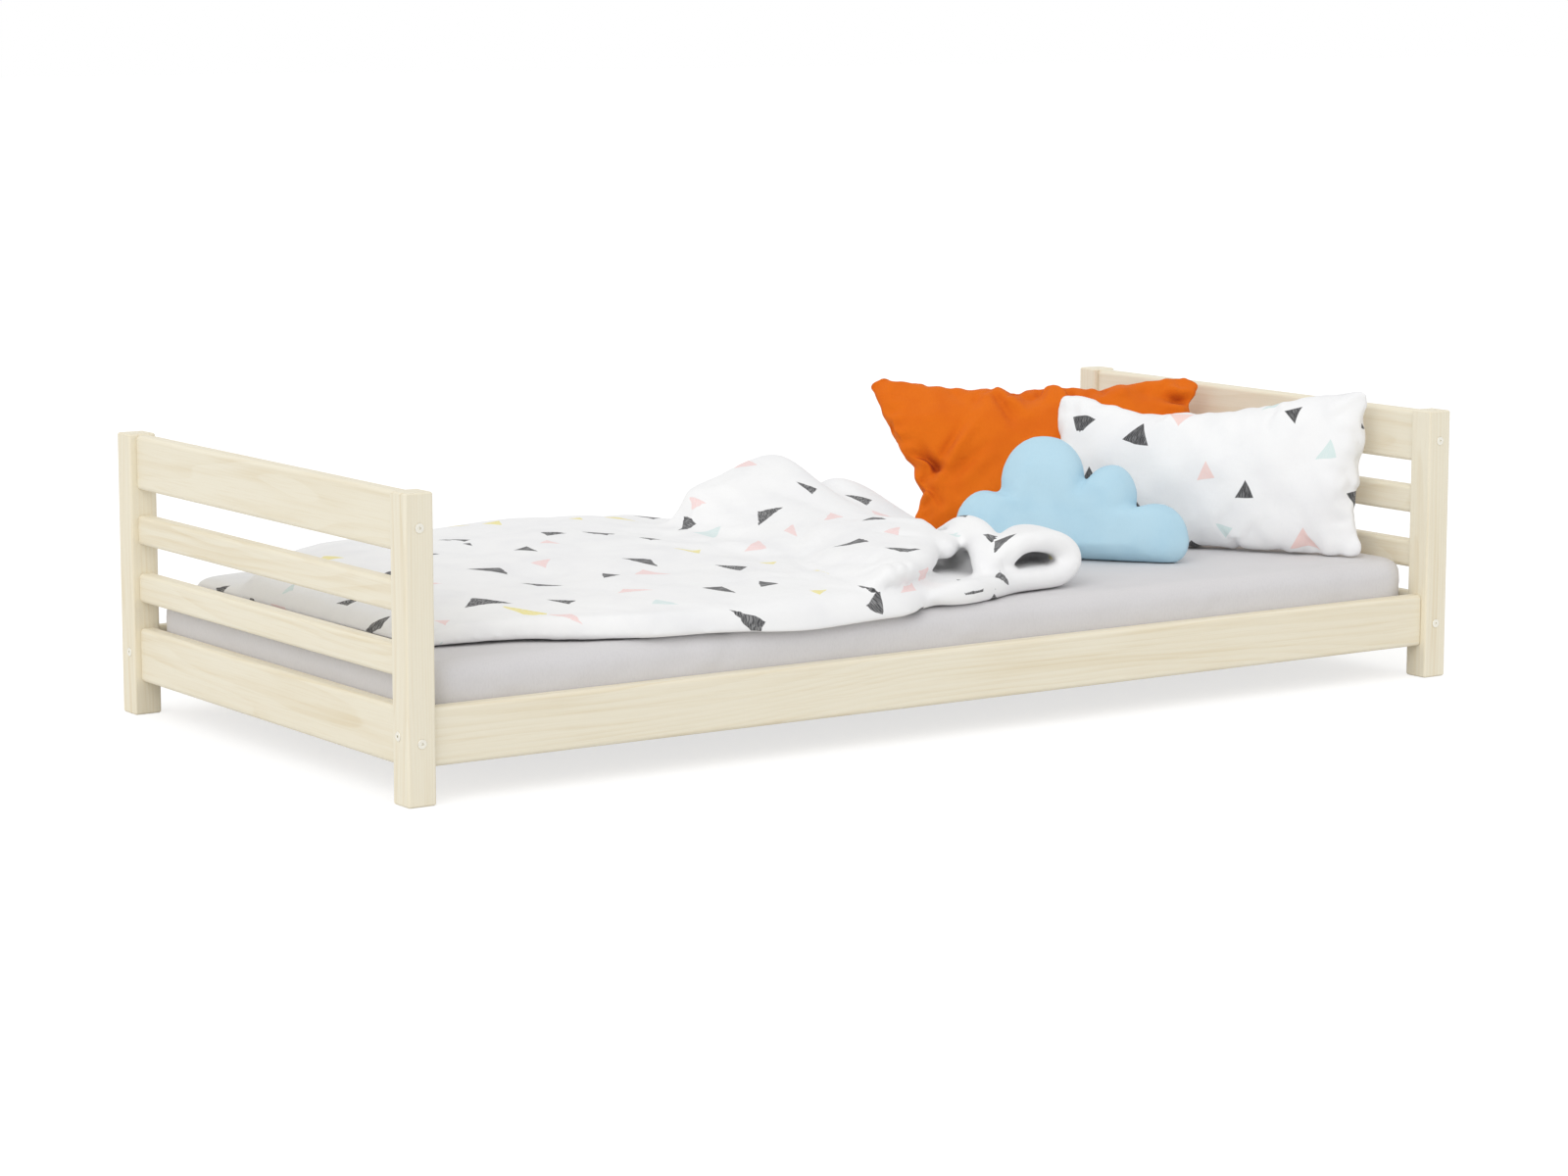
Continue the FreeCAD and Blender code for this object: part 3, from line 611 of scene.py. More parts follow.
sheet = new_object("fitted_sheet_cloth", grid.reshape(-1, 3), faces, sheet_material)
weld(sheet)
configure(sheet.modifiers.new("cloth", "SOLIDIFY"), thickness=0.0009, offset=-1)
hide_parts("fitted_sheet")
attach(sheet, "mattress")


# ---- pillows
HEAD_X = core_high.x
BED_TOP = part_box("print_pillow")[0].z
SINK = 0.004          # how far a cushion's lower edge is pressed flat
CLOTH_SHARE = 1.1     # a panel's flat width, as a share of the stuffed pillow's
HIGHEST = 0.4970      # where a pillow's upper corners end
EASED = 0.010         # how far below that they start to bend in
# waves along a pillow's seam: the shortest and the longest they may be, and their share
SEAM_WAVES = ((0.018, 0.026, 0.3), (0.034, 0.05, 0.7), (0.055, 0.075, 0.8), (0.09, 0.15, 0.8))


def panel(width, height, columns, rows, belly, corner):
    """Two cloth panels sewn round their rim: points, faces, and the flat cloth's places of
    each face corner and of each point."""
    xs = np.linspace(-width / 2, width / 2, columns + 1)
    zs = np.linspace(-height / 2, height / 2, rows + 1)
    flat_x, flat_z = np.meshgrid(xs, zs, indexing="ij")
    inner_x, inner_z = width / 2 - corner, height / 2 - corner
    s = np.clip((np.abs(flat_x) - inner_x) / corner, 0, 1)
    t = np.clip((np.abs(flat_z) - inner_z) / corner, 0, 1)
    both = (s > 0) & (t > 0)
    x = np.sign(flat_x) * (inner_x + corner * s * np.sqrt(1 - t * t / 2))
    z = np.sign(flat_z) * (inner_z + corner * t * np.sqrt(1 - s * s / 2))
    x, z = np.where(both, x, flat_x), np.where(both, z, flat_z)
    u = 1 - (xs[:, None] / (width / 2)) ** 2
    v = 1 - (zs[None, :] / (height / 2)) ** 2
    front = np.dstack([x, belly * np.sqrt(np.clip(u * v, 0, 1)), z + height / 2])
    back = front[1:-1, 1:-1] * (1, -1, 1)
    flat = np.dstack([flat_x, flat_z])
    index = np.arange(x.size).reshape(x.shape)
    behind = index.copy()
    behind[1:-1, 1:-1] = x.size + np.arange(back[..., 0].size).reshape(back.shape[:2])
    faces, places = [], []
    for side, order in enumerate((index, behind)):
        at = np.dstack([x + width / 2, z + height / 2, np.full(x.shape, side)])
        turn = slice(None, None, 1 if side else -1)
        faces.append(quads(order)[:, :, turn].reshape(-1, 4))
        places.append(quads(at)[:, :, turn].reshape(-1, 3))
    points = np.vstack([front.reshape(-1, 3), back.reshape(-1, 3)])
    flat = np.vstack([flat.reshape(-1, 2), flat[1:-1, 1:-1].reshape(-1, 2)])
    return points, np.vstack(faces), np.vstack(places), flat


def seam_puckers(points, flat, width, height, seed, size):
    """Waves the sewn rim and runs short creases in from it."""
    x, y, z = points.T
    across, up = flat.T
    from_end, from_edge = width / 2 - np.abs(across), height / 2 - np.abs(up)
    on_end = from_end < from_edge
    inside = np.minimum(from_end, from_edge)
    run = np.where(on_end, up + 3 * np.sign(across), across + 9 * np.sign(up))
    draw = np.random.default_rng(seed)
    wave = scallop = crease = 0
    for low, high, share in SEAM_WAVES:
        k, p, q, r = TAU / draw.uniform(low, high), *draw.uniform(0, TAU, 3)
        wave = wave + share * np.sin(k * run + p)
        scallop = scallop + share * np.sin(k * 1.13 * run + q)
        crease = crease + share * np.sin(k * 1.31 * run + r + inside * 20)
    rim = np.exp(-inside / 0.012)
    reach = np.exp(-inside / 0.040) * (1 - np.exp(-inside / 0.006))
    side = np.sign(y) * (inside > 1e-6)
    y += size * wave * rim + side * size * 0.9 * crease * reach
    out = size * 0.6 * scallop * rim
    x += np.where(on_end, np.sign(across) * out, 0)
    z += np.where(on_end, 0, np.sign(up) * out)


def furthest(along, value, inner):
    """The largest value in each row of the cloth, the corners' rows left out."""
    rows, which = np.unique(np.round(along, 6), return_inverse=True)
    far = np.full(len(rows), -1.0)
    np.maximum.at(far, which.ravel(), value)
    straight = np.abs(rows) < inner
    return np.interp(along, rows[straight], far[straight])


def tailor(points, flat, wide, tall, corner, top, plus, minus):
    """Brings a pillow to an outline in millimetres: each end's reach by height, and the top's
    height along it."""
    x, z = points[:, 0].copy(), points[:, 2].copy()
    for side, line in ((1, plus), (-1, minus)):
        now = furthest(flat[:, 1], side * x, tall / 2 - corner)
        reach = side * np.interp(z, *(np.array(line, float).T * MM))
        points[:, 0] = np.where(side * x > 0, x * reach / now, points[:, 0])
    over = furthest(flat[:, 0], z, wide / 2 - corner)
    under = -0.85 * furthest(flat[:, 0], -z, wide / 2 - corner)
    reach = np.interp(points[:, 0], *(np.array(top, float).T * MM))
    points[:, 2] = (z - under) * reach / (over - under)


def folds(x, y, lines):
    """Ridges and valleys along lines: from, to, height and width in millimetres."""
    total = np.zeros(len(x))
    for x0, y0, x1, y1, high, width in np.array(lines, float) * MM:
        dx, dy = x1 - x0, y1 - y0
        along = np.clip(((x - x0) * dx + (y - y0) * dy) / (dx ** 2 + dy ** 2), 0, 1)
        far = np.hypot(x - x0 - along * dx, y - y0 - along * dy)
        total += high * np.exp(-(far / width) ** 2) * (0.35 + 0.65 * np.sin(math.pi * along))
    return total


def lumps(x, y, z, size, seed, short, long):
    """Soft swellings of both faces of a cushion."""
    return size * waves(seed, 7, short, long)(x, z) * np.sign(y)


def give_fabric(made, places):
    """Puts each face corner's place on the cloth into the mesh."""
    layer = made.data.attributes.new("fabric", "FLOAT_VECTOR", "CORNER")
    layer.data.foreach_set("vector", np.asarray(places, np.float32).ravel())


def stand(points, place, turn, lean, forward):
    """Leans and turns a form as its CAD solid is, and seats it on the bed."""
    turned = Matrix.Rotation(math.radians(turn), 3, "Z")
    spin = np.array(turned @ Matrix.Rotation(math.radians(lean), 3, "X"))
    shift = np.array(turned @ Vector((0, forward, 0)))
    moved = points @ spin.T + shift + np.array([HEAD_X - place[0], place[1], 0])
    moved[:, 2] += BED_TOP - SINK - moved[:, 2].min()
    moved[:, 2] = np.maximum(moved[:, 2], BED_TOP + 0.0004)
    return moved


def fit(points, width, height, thick):
    """Scales a form about its middle to that size, and stands it on zero."""
    low, high = points.min(0), points.max(0)
    points = (points - (low + high) / 2) * (np.array([width, thick, height]) / (high - low))
    points[:, 2] += height / 2
    return points


def pillow(name, node, material, size, cell, corner, place, turn, lean, forward, grow, seed,
           pucker, rim, creases):
    width, height, thick = size
    wide, tall = width * CLOTH_SHARE, height * CLOTH_SHARE
    points, faces, places, flat = panel(
        wide, tall, round(wide / cell), round(tall / cell), thick * 0.30, corner)
    points[:, 1] *= 1 + 0.10 * waves(seed, 8, 0.05, 0.16)(points[:, 0], points[:, 2])
    made = new_object(name, points, faces, material)
    give_fabric(made, places)
    simulate(made, 30, 9.0, growth=grow, stiff=22.0, bend=0.12, mass=0.25)
    points = fit(mesh_points(made.data), width, height, thick)
    tailor(points, flat, wide, tall, corner, *rim)
    x, y, z = points.T
    y += folds(x, z, creases) * smooth_step(y, 0.0, 0.012)
    y += lumps(x, y, z, 0.0022, seed + 50, 0.07, 0.2) * smooth_step(np.abs(y), 0.004, 0.02)
    seam_puckers(points, flat, wide, tall, seed, pucker)
    points = stand(points, place, turn, lean, forward)
    over = np.maximum(points[:, 2] - (HIGHEST - EASED), 0)
    points[:, 2] += EASED * np.tanh(over / EASED) - over
    set_points(made, points)
    relax(made, 1, 0.2)
    points = mesh_points(made.data)
    points[:, 2] = np.maximum(points[:, 2], BED_TOP + 0.0003)
    set_points(made, points)
    subdivide(made)
    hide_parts(node)
    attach(made, node)


# each rim: how high the top stands along it, and how far the right and the left end reach by height
PRINT_SIZE = (0.588, 0.270, 0.130)
PRINT_RIM = (
    ((-300, 295), (-262, 296), (-220, 288), (-131, 270), (-61, 253), (21, 243), (122, 238),
     (175, 246), (213, 257), (244, 266), (300, 264)),
    ((0, 286), (55, 277), (120, 281), (160, 279), (205, 287), (250, 292), (300, 288)),
    ((0, -300), (12, -299), (58, -277), (117, -282), (155, -276), (185, -289), (222, -281),
     (271, -291), (310, -286)),
)
PRINT_CREASES = (
    (-262, 268, -225, 235, -5, 9), (-285, 225, -245, 215, -4, 8), (-275, 155, -235, 150, -4, 8),
    (-275, 58, -235, 72, -5, 9), (-225, 12, -215, 45, -4, 8), (-120, 8, -110, 40, -4, 8),
    (262, 245, 228, 215, -4, 9), (120, 236, 112, 205, -3, 8), (-61, 250, -70, 218, -3, 8),
)
ORANGE_SIZE = (0.600, 0.322, 0.118)
ORANGE_RIM = (
    ((-310, 328), (-285, 329), (-244, 325), (-186, 314), (-126, 301), (-60, 298), (-22, 298),
     (30, 295), (60, 298), (87, 301), (105, 297), (150, 301), (202, 309), (238, 315), (278, 325),
     (310, 327)),
    ((0, 203), (31, 212), (55, 210), (91, 196), (103, 204), (121, 214), (145, 216), (161, 236),
     (211, 258), (242, 277), (295, 298), (330, 294)),
    ((0, -284), (60, -278), (150, -286), (250, -296), (267, -291), (285, -307), (330, -308)),
)
ORANGE_CREASES = (
    (165, 112, 104, 205, 13, 12), (182, 112, 128, 200, -12, 9), (150, 98, 78, 162, -9, 10),
    (62, 290, 6, 226, 10, 10), (76, 290, 32, 204, -11, 8), (46, 292, -24, 248, -8, 9),
    (106, 286, 96, 246, -6, 9), (-10, 286, -24, 258, -7, 8), (150, 290, 128, 262, -6, 9),
    (226, 158, 180, 142, -15, 7), (204, 170, 172, 126, -14, 7), (182, 138, 152, 112, -14, 7),
    (192, 124, 197, 96, -12, 7), (172, 128, 184, 98, -11, 7), (214, 146, 188, 132, 10, 6),
    (190, 152, 176, 138, 9, 6), (190, 90, 156, 44, -12, 8), (178, 66, 208, 46, -9, 7),
    (202, 80, 170, 62, 8, 8), (212, 28, 172, 40, -7, 8), (264, 216, 236, 206, -7, 7),
    (248, 186, 220, 180, -8, 7), (278, 252, 246, 238, -5, 8), (190, 20, 120, 60, 6, 16),
    (236, 215, 150, 232, 5, 20), (20, 120, -60, 190, 7, 22), (120, 60, 60, 130, -7, 16),
    (130, 256, 60, 196, 5, 22), (-290, 272, -232, 284, -13, 8), (-292, 292, -240, 306, 7, 8),
    (-292, 254, -240, 258, 8, 9), (-292, 282, -246, 266, -9, 6), (-185, 300, -150, 268, 7, 12),
    (-120, 290, -98, 254, -8, 9), (-215, 300, -205, 276, -7, 8), (-262, 312, -236, 296, -7, 7),
)
SEAM_INSET = 0.006


def stitches(size):
    return (size[0] * CLOTH_SHARE, size[1] * CLOTH_SHARE, SEAM_INSET)


print_material = cotton(
    "triangle_cotton", *WHITES, crease=0.0016, stitched=stitches(PRINT_SIZE),
    printed=(0.112, 0.122, 0.012, PILLOW_INKS, 0.25, True, 7.3))
pillow("print_pillow_cushion", "print_pillow", print_material, PRINT_SIZE,
       cell=0.0075, corner=0.040, place=(0.167, -0.105), turn=121.8, lean=9.0,
       forward=PRINT_SIZE[2] / 2, grow=0.02, seed=21, pucker=0.0030, rim=PRINT_RIM,
       creases=PRINT_CREASES)
# orange cotton: its colour, a darker tone for random mottling, and the painted shade colour of its
# creases, over a wider range of occlusion so its folds show
orange_material = cotton(
    "orange_cotton", srgb(226, 111, 10), srgb(210, 91, 4), srgb(142, 38, 2), crease=0.0040,
    crease_scale=22.0, sheen=0.02, painted_shade_range=(0.93, 0.30), stitched=stitches(ORANGE_SIZE))
pillow("orange_pillow_cushion", "orange_pillow", orange_material, ORANGE_SIZE,
       cell=0.0062, corner=0.036, place=(0.415, 0.115), turn=142.2, lean=33.0,
       forward=-ORANGE_SIZE[2] / 2, grow=0.05, seed=22, pucker=0.0034, rim=ORANGE_RIM,
       creases=ORANGE_CREASES)


# ---- cloud cushion
# where each arc of the outline starts, and a point on its way, in millimetres
CLOUD_ARCS = (
    ((20, 0), (-12, 20)), ((-14, 50), (22, 99)),
    ((83, 92), (80, 140)), ((112, 175), (152, 168)),
    ((181, 129), (188, 184)), ((249, 222), (318, 197)),
    ((337, 122), (390, 110)), ((415, 52), (412, 20)),
    ((385, 0), None),
)
CLOUD_CORE = np.array((200.0, 70.0))
CLOUD_T = 0.096
CLOUD_VOXEL = 0.0058
CLOUD_SPACING = 5.0
# the rings of each side, as shares of the outline
CLOUD_SHARES = (
    1.0, 0.992, 0.975, 0.95, 0.915, 0.87, 0.815, 0.75, 0.68, 0.6, 0.5, 0.38, 0.25, 0.12)


def arc_points(a, way, b, count):
    """Points on the circle through a, way and b, without b."""
    a, way, b = (np.array(p, float) for p in (a, way, b))
    m = 2 * np.array([way - a, b - a])
    middle = np.linalg.solve(m, np.array([way @ way - a @ a, b @ b - a @ a]))
    radius = norm(a - middle)
    start, through, end = (math.atan2(*(p - middle)[::-1]) for p in (a, way, b))
    span = (end - start) % TAU
    if (through - start) % TAU > span:
        span -= TAU
    steps = start + span * np.arange(count) / count
    return middle + radius * np.column_stack([np.cos(steps), np.sin(steps)])


def cloud_outline():
    points = []
    for k, (start, way) in enumerate(CLOUD_ARCS):
        end = CLOUD_ARCS[(k + 1) % len(CLOUD_ARCS)][0]
        if way:
            length = math.dist(start, way) + math.dist(way, end)
            points.append(arc_points(start, way, end, int(1.2 * length / CLOUD_SPACING)))
        else:
            count = int(math.dist(start, end) / CLOUD_SPACING)
            points.append(start + np.outer(np.arange(count) / count, np.subtract(end, start)))
    rim = np.vstack(points)
    for _ in range(3):
        rim = rim * 0.5 + (np.roll(rim, 1, 0) + np.roll(rim, -1, 0)) * 0.25
    return rim


def cloud():
    rim = cloud_outline()
    rows = []
    for side, shares in ((1, CLOUD_SHARES), (-1, CLOUD_SHARES[1:])):
        for share in shares:
            t = min((1 - share) / 0.42, 1.0)
            deep = 0.93 * (1 - (1 - t) ** 2) ** 0.62 + 0.07 * (1 - share)
            ring = CLOUD_CORE + (rim - CLOUD_CORE) * share
            y = np.full(len(ring), -side * deep * CLOUD_T * 500)
            rows.append(np.column_stack([ring[:, 0], y, ring[:, 1]]) * MM)
    index = np.arange(len(rows) * len(rim)).reshape(len(rows), -1)
    front = index[:len(CLOUD_SHARES)]
    back = np.vstack([index[:1], index[len(CLOUD_SHARES):]])
    faces = [*ring_faces(front), front[-1], *ring_faces(back)[:, ::-1], back[-1, ::-1]]
    made = new_object("cloud_cushion_pad", np.vstack(rows), faces)
    weld(made, 0.00001)
    points = mesh_points(made.data)
    middle = (points.min(0) + points.max(0)) / 2
    set_points(made, middle + (points - middle) * (0.985, 0.90, 0.98))
    remesh(made, CLOUD_VOXEL)
    relax(made, 2)
    simulate(made, 20, 4.0, cap=0.008)
    relax(made, 1)
    middle = rim.min(0) / 2 + rim.max(0) / 2
    extent = (rim.max(0) - rim.min(0)) * MM
    points = fit(mesh_points(made.data), extent[0] * 0.977, extent[1] * 0.992, CLOUD_T)
    points[:, 0] += middle[0] * MM - 0.003
    x, y, z = points.T
    outer = np.array([np.abs(np.hypot(*(rim * MM - p).T)).min() for p in points[:, [0, 2]]])
    groove = np.exp(-(y / 0.0035) ** 2) * np.exp(-(outer / 0.014) ** 2) * 0.0022
    away = points[:, [0, 2]] - CLOUD_CORE * MM
    away /= np.maximum(norm(away, axis=1), 1e-6)[:, None]
    moved = points[:, [0, 2]] - away * groove[:, None]
    x[:], z[:] = moved.T
    y += lumps(x, y, z, 0.0012, 31, 0.04, 0.11) * smooth_step(np.abs(y), 0.01, 0.03)
    places = points[:, [0, 2]]
    set_points(made, stand(points, (0.408, -0.294), 132.5, 15.0, -CLOUD_T / 2))
    corners = np.empty(len(made.data.loops), np.int64)
    made.data.loops.foreach_get("vertex_index", corners)
    give_fabric(made, np.column_stack([places[corners], np.zeros(len(corners))]))
    # pale blue cotton: its colour, a darker tone for random mottling, and the painted shade colour
    # of its creases
    dress(made, cotton(
        "cloud_cotton", srgb(184, 216, 231), srgb(166, 204, 224), srgb(118, 165, 196),
        crease=0.0016, crease_scale=18.0))
    smoothed(made)
    subdivide(made)
    return made


cloud_pad = cloud()
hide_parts("cloud_cushion")
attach(cloud_pad, "cloud_cushion")


# ---- duvet
DUVET_X0, DUVET_X1 = (corner.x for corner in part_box("duvet"))
HALF_W = core_high.y
# share of the length; inset and thickness of the near edge; the same for the far edge;
# height at the near quarter, the middle and the far quarter, in millimetres
DUVET_STATIONS = np.array((
    (0.0, 138, 16, 16, 18, 20, 24, 22), (0.02, 124, 26, 4, 34, 36, 44, 42),
    (0.06, 112, 34, -6, 54, 46, 56, 58), (0.13, 94, 38, -12, 60, 52, 64, 70),
    (0.20, 38, 42, -15, 66, 53, 68, 78), (0.27, 0, 44, -16, 72, 54, 70, 83),
    (0.43, -14, 45, -17, 78, 55, 72, 84), (0.575, -19, 45, -16, 64, 56, 68, 68),
    (0.635, -18, 40, -14, 50, 46, 62, 60), (0.650, -14, 38, -14, 47, 44, 62, 62),
    (0.659, -10, 37, -14, 47, 43, 66, 104), (0.670, -4, 37, -13, 47, 42, 72, 130),
    (0.690, 8, 36, -12, 44, 48, 77, 139), (0.720, 26, 36, -11, 46, 46, 84, 153),
    (0.750, 44, 36, -10, 50, 40, 90, 169), (0.805, 66, 30, -6, 56, 28, 96, 183),
    (0.830, 74, 30, -2, 60, 26, 96, 178), (0.846, 78, 30, 0, 60, 26, 95, 156),
    (0.859, 82, 30, 3, 60, 26, 92, 130), (0.872, 85, 31, 6, 59, 27, 88, 112),
    (0.887, 88, 32, 8, 58, 28, 84, 112), (0.902, 92, 33, 11, 57, 31, 79, 124),
    (0.919, 96, 34, 14, 56, 34, 73, 133), (0.935, 106, 36, 22, 54, 34, 67, 128),
    (0.953, 122, 36, 34, 52, 34, 60, 119), (0.979, 165, 36, 55, 44, 32, 52, 97),
    (0.992, 200, 28, 70, 34, 30, 46, 70), (1.0, 225, 16, 82, 18, 20, 24, 24),
), float)
QUARTER = 0.24
FAR_SHEAR = 0.5       # how far the hump's folds lean towards the head beyond the far quarter
SPREAD = 0.028        # how softly the heights run into each other across the bed
DUVET_VOXEL = 0.0068
SLAB_ROWS, SLAB_COLUMNS = 190, 150
FOLD_FOOT = 206.6     # the height in millimetres that the turned-back layer settles towards


def duvet_slab():
    """The flat part and the hump: a height over the bed, in rows across it."""
    xs = np.linspace(0, 1, SLAB_ROWS)
    t = np.linspace(0, 1, SLAB_COLUMNS)
    kernel = np.array([1, 2, 3, 2, 1]) / 9
    lines = [np.interp(xs, DUVET_STATIONS[:, 0], keys) for keys in DUVET_STATIONS[:, 1:].T]
    for line in lines:
        line[2:-2] = np.convolve(line, kernel, "same")[2:-2]
    near, near_edge, far, far_edge, *heights = (line[:, None] * MM for line in lines)
    near, far = near - HALF_W, HALF_W - far
    width = far - near
    y = near + width * t
    keys_y = np.hstack([
        near + 0.25 * near_edge, near + near_edge, near + QUARTER * width, near + width / 2,
        far - QUARTER * width, far - far_edge, far - 0.25 * far_edge])
    keys_h = np.hstack([
        near_edge * 0.93, near_edge, *heights, far_edge, far_edge * 0.93])
    tops = np.zeros(y.shape)
    for i in range(SLAB_ROWS):
        spread = max(int(SPREAD / (width[i, 0] / SLAB_COLUMNS)), 1)
        bell = np.exp(-(np.arange(-2 * spread, 2 * spread + 1) / spread) ** 2)
        top = np.pad(np.interp(y[i], keys_y[i], keys_h[i]), 2 * spread, "edge")
        tops[i] = np.convolve(top, bell / bell.sum(), "valid")
    beyond = np.clip(t - (1 - QUARTER), 0, 1) * FAR_SHEAR
    for j in range(SLAB_COLUMNS):
        tops[:, j] = np.interp(xs - beyond[j] * (1 - smooth_step(xs, 0.86, 0.96)), xs, tops[:, j])
    xs, length = xs[:, None], DUVET_X1 - DUVET_X0
    round_off = np.sqrt(
        arch((y - y[:, :1]) / (near_edge * 0.5)) * arch((y[:, -1:] - y) / (far_edge * 0.5))
        * arch(length * np.minimum(xs, 1 - xs) / 0.02))
    half = np.maximum(tops * round_off / 2, 0.0002)
    flat = np.minimum(tops, 0.055) * 0.2
    middle = np.where(round_off < 1, flat * (1 - round_off), 0) + half
    for _ in range(2):
        half[1:-1, 1:-1] = (half[1:-1, 1:-1] * 2 + half[:-2, 1:-1] + half[2:, 1:-1]
                            + half[1:-1, :-2] + half[1:-1, 2:]) / 6
    x = np.broadcast_to(DUVET_X0 + length * xs, y.shape)
    centre = np.dstack([x, y, BED_TOP + np.maximum(middle - half, 0) + half])
    return centre, half, np.broadcast_to(UP, centre.shape)


def along_grid(points, axis):
    """How far each point of a grid is along the cloth that way."""
    total = np.cumsum(norm(np.diff(points, axis=axis), axis=2), axis=axis)
    return np.pad(total, [(1 - axis, 0), (axis, 0)]).ravel()


def quilt(name, centre, half, normal=None):
    """A closed padded form about a middle surface: its object, points, upper and lower faces,
    and each point's place on the cloth."""
    if normal is None:
        normal = np.cross(np.gradient(centre, axis=0), np.gradient(centre, axis=1))
        normal /= np.maximum(norm(normal, axis=2, keepdims=True), 1e-12)
    top, low = centre + normal * half[:, :, None], centre - normal * half[:, :, None]
    points = np.vstack([top.reshape(-1, 3), low.reshape(-1, 3)])
    size = half.size
    index = np.arange(size).reshape(half.shape)
    upper = quads(index).reshape(-1, 4)
    faces = np.vstack([upper, upper[:, ::-1] + size])
    rim = np.concatenate([index[:, 0], index[-1, 1:], index[-2::-1, -1], index[0, -2:0:-1]])
    after = np.roll(rim, -1)
    border = np.column_stack([rim, rim + size, after + size, after])
    made = new_object(name, points, np.vstack([faces, border]))
    places = np.vstack([
        np.column_stack([along_grid(side, 0) + off, along_grid(side, 1), np.zeros(size)])
        for side, off in ((top, 0), (low, 3))])
    return made, points, faces, places


def lobe(name, keys, low, high, puff, bottom, buried):
    """A puffed flap over a plan outline. Each key is its place and how softly the flap rises
    there: 0 is a full rounded edge that stands free, and 1 a slope out of the form below."""
    keys = np.array(keys, float)
    rim = spline(np.vstack([keys, keys[:1]]), 140)[:-1]
    ring = np.vstack([rim, rim[:1]])
    soft = np.clip(ring[:, 2], 0, 1)
    ring = ring[:, :2] * MM
    middle = ring[:-1].mean(0)
    shares = np.concatenate([1 - 0.5 * np.linspace(0, 1, 18) ** 1.6, np.linspace(0.46, 0.03, 14)])
    at = middle + (ring - middle) * shares[:, None, None]
    distance = norm(ring - at, axis=2)
    rise = np.sqrt(arch(distance / puff)) * (1 - soft) + smooth_step(distance, 0, 0.15) * soft
    across = smooth_step(at[..., 0] * 0.563 + at[..., 1] * 0.827, -0.42, -0.02)
    top = low + (high - low) * across
    start = (1 - soft) * (bottom + top) / 2 + soft * buried
    under = (1 - soft) * bottom + soft * (buried - 0.01)
    upper, lower = start + (top - start) * rise, start + (under - start) * rise
    centre = np.dstack([at, (upper + lower) / 2])
    half = np.maximum((upper - lower) / 2, 0.0003)
    made, points, faces, places = quilt(name, centre, half, np.broadcast_to(UP, centre.shape))
    places[:, 0] = points[:, 0]
    places[:, 1] = points[:, 1] + points[:, 2] * 1.4
    places[:, 2] = np.arange(len(places)) >= len(places) // 2
    return made, points, faces, places


def free_ends(count, power):
    """1 along most of a line, falling to 0 at both its ends."""
    return np.sqrt(np.clip(1 - np.abs(np.linspace(-1, 1, count)) ** power, 0, 1))


def roll(name, keys, steps=60, around=28):
    """A closed roll along points, each with half its width and half its height."""
    line = spline(np.asarray(keys, float) * MM, steps)
    at, size = line[:, :3], line[:, 3:]
    way = np.gradient(at, axis=0)
    way /= norm(way, axis=1, keepdims=True)
    side = np.cross(way, UP)
    side /= np.maximum(norm(side, axis=1, keepdims=True), 1e-9)
    wide, tall = (size * free_ends(steps, 10)[:, None]).T[:, :, None]
    angles = [TAU * k / around - math.pi / 2 for k in range(around)]
    points = np.stack([
        at + side * (wide * math.cos(a)) + np.cross(side, way) * (tall * math.sin(a))
        for a in angles], 1).reshape(-1, 3)
    index = np.arange(len(points)).reshape(steps, around)
    body = ring_faces(index)
    made = new_object(name, points, [*body, index[0, ::-1], index[-1]])
    u = np.concatenate([[0], np.cumsum(norm(np.diff(at, axis=0), axis=1))])
    v = np.arange(around) / around * 0.15
    return made, points, body, np.array([(a, b, 0) for a in u for b in v])


def ribbon(name, keys, depth, steps=36):
    """A thick turned-back layer: a line along the near rim, carried back into the bed. Each key
    is the line's x and z, half the thickness, y, and how far back the layer reaches."""
    x, z, thick, y, reach = spline(keys, 110).T[:, :, None]
    share = np.arange(steps) / (steps - 1)
    back = reach * share
    centre = np.dstack([
        x + back * 0.32, y + back * 0.95,
        FOLD_FOOT + (z - FOLD_FOOT) * (1 - 0.20 * share)])
    half = thick * np.sqrt(arch(back / depth)) * np.sqrt(arch((reach - back) / (depth * 1.5)))
    half = np.maximum(half * free_ends(len(x), 14)[:, None], 0.3)
    return quilt(name, centre * MM, half * MM)


